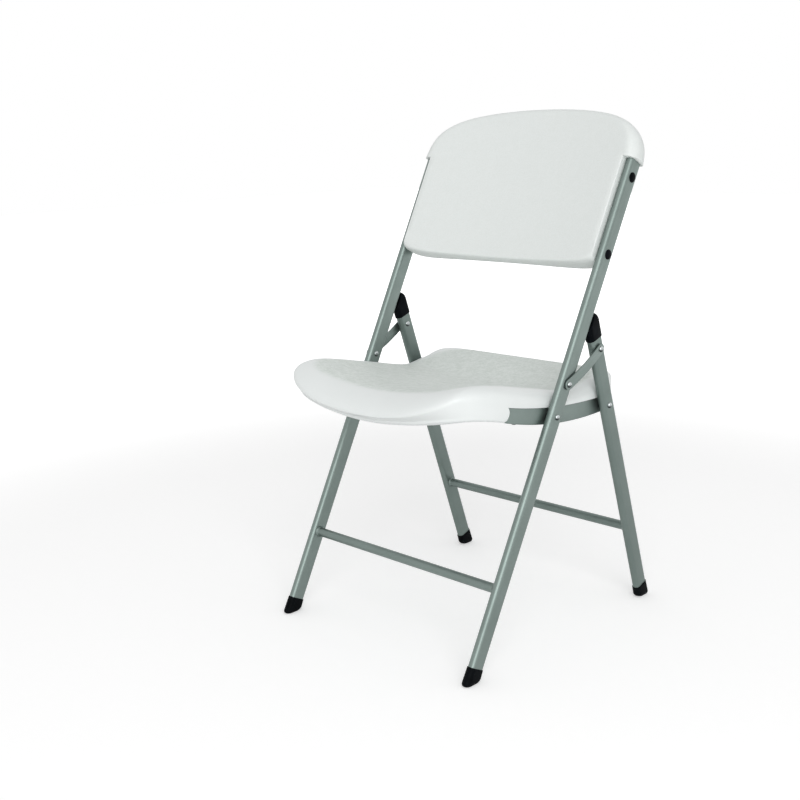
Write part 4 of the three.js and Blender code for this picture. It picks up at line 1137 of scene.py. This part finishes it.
studio = {
    "floorColour": (236, 236, 236),
    "floorGlow": (0.34, 1.0),  # near the chair and far away, seen but not lighting anything
    "glowReach": (1.0, 3.2),  # metres from the chair between which the glow grows
    "skyStrength": 0.57,
    "lamps": {  # power in watts, size, place and what it points at
        "keyLight": (109.0, 4.0, (3.3, -3.0, 2.5), (0, 0, 0.45)),
        "lowFill": (14.0, 1.6, (2.6, -3.4, 0.3), (0, 0, 0.5)),
    },
}


def seenShare(tree):
    # 1 for rays that show the background itself: to the camera, in a reflection or through something clear
    path = tree.nodes.new("ShaderNodeLightPath")
    share = path.outputs["Is Camera Ray"]
    for kind in ("Is Glossy Ray", "Is Transmission Ray"):
        either = tree.nodes.new("ShaderNodeMath")
        either.operation = "MAXIMUM"
        tree.links.new(share, either.inputs[0])
        tree.links.new(path.outputs[kind], either.inputs[1])
        share = either.outputs[0]
    return share


def makeFloor():
    bm = bmesh.new()
    bmesh.ops.create_grid(bm, x_segments=8, y_segments=8, size=12)
    floor = finishMesh("studioFloor", bm)
    floor.location.z = -0.0004
    sheet = NodeSheet("paleFloor")
    sheet.feed(sheet.shader.inputs["Base Color"], colour(*studio["floorColour"]))
    sheet.shader.inputs["Roughness"].default_value = 0.9
    sheet.shader.inputs["Specular IOR Level"].default_value = 0.1
    distance = sheet.add("ShaderNodeVectorMath", operation="LENGTH")
    sheet.feed(distance.inputs[0], sheet.place)
    glow = sheet.remap(distance.outputs["Value"], *studio["glowReach"], *studio["floorGlow"], smooth=True)
    sheet.feed(sheet.shader.inputs["Emission Color"], (1, 1, 1, 1))
    sheet.feed(sheet.shader.inputs["Emission Strength"], sheet.math("MULTIPLY", glow, seenShare(sheet.tree)))
    floor.data.materials.append(sheet.material)


def makeSky():
    world = bpy.data.worlds.new("studioSky")
    world.use_nodes = True
    tree = world.node_tree
    tree.nodes.clear()
    output = tree.nodes.new("ShaderNodeOutputWorld")
    choose = tree.nodes.new("ShaderNodeMixShader")
    tree.links.new(seenShare(tree), choose.inputs[0])
    for number, strength in enumerate((studio["skyStrength"], 1.0), 1):
        light = tree.nodes.new("ShaderNodeBackground")
        light.inputs["Color"].default_value = (1, 1, 1, 1)
        light.inputs["Strength"].default_value = strength
        tree.links.new(light.outputs[0], choose.inputs[number])
    tree.links.new(choose.outputs[0], output.inputs["Surface"])
    bpy.context.scene.world = world


def areaLight(name, power, size, at, aim):
    lamp = bpy.data.lights.new(name, "AREA")
    lamp.shape = "DISK"
    lamp.energy = power
    lamp.size = size
    holder = bpy.data.objects.new(name, lamp)
    holder.location = at
    holder.rotation_euler = (Vector(aim) - Vector(at)).to_track_quat("-Z", "Y").to_euler()
    bpy.context.scene.collection.objects.link(holder)
    return holder


def makeCamera():
    # looks down on the chair from its right front corner
    look = {"at": place(1254.97, -1200.61, 822.52), "azimuth": 45.171, "elevation": 18.231, "roll": -1.519,
            "lens": 50.46, "shift": (0.0124, 0.1307)}
    turn, tilt, roll = (math.radians(look[k]) for k in ("azimuth", "elevation", "roll"))
    ahead = Vector((-math.sin(turn) * math.cos(tilt), math.cos(turn) * math.cos(tilt), -math.sin(tilt)))
    right = Vector((math.cos(turn), math.sin(turn), 0))
    up = right.cross(ahead)
    right, up = right * math.cos(roll) + up * math.sin(roll), up * math.cos(roll) - right * math.sin(roll)
    data = bpy.data.cameras.new("studioCamera")
    data.lens = look["lens"]
    data.sensor_width = 36
    data.shift_x, data.shift_y = look["shift"]
    data.clip_start, data.clip_end = 0.05, 60
    camera = bpy.data.objects.new("studioCamera", data)
    basis = Matrix((right, up, -ahead)).transposed()
    camera.matrix_world = Matrix.Translation(look["at"]) @ basis.to_4x4()
    bpy.context.scene.collection.objects.link(camera)
    bpy.context.scene.camera = camera


makeFloor()
makeSky()
for lampName, lampFacts in studio["lamps"].items():
    areaLight(lampName, *lampFacts)
makeCamera()
bpy.context.scene.view_settings.view_transform = "Standard"
print("floor, light and camera")
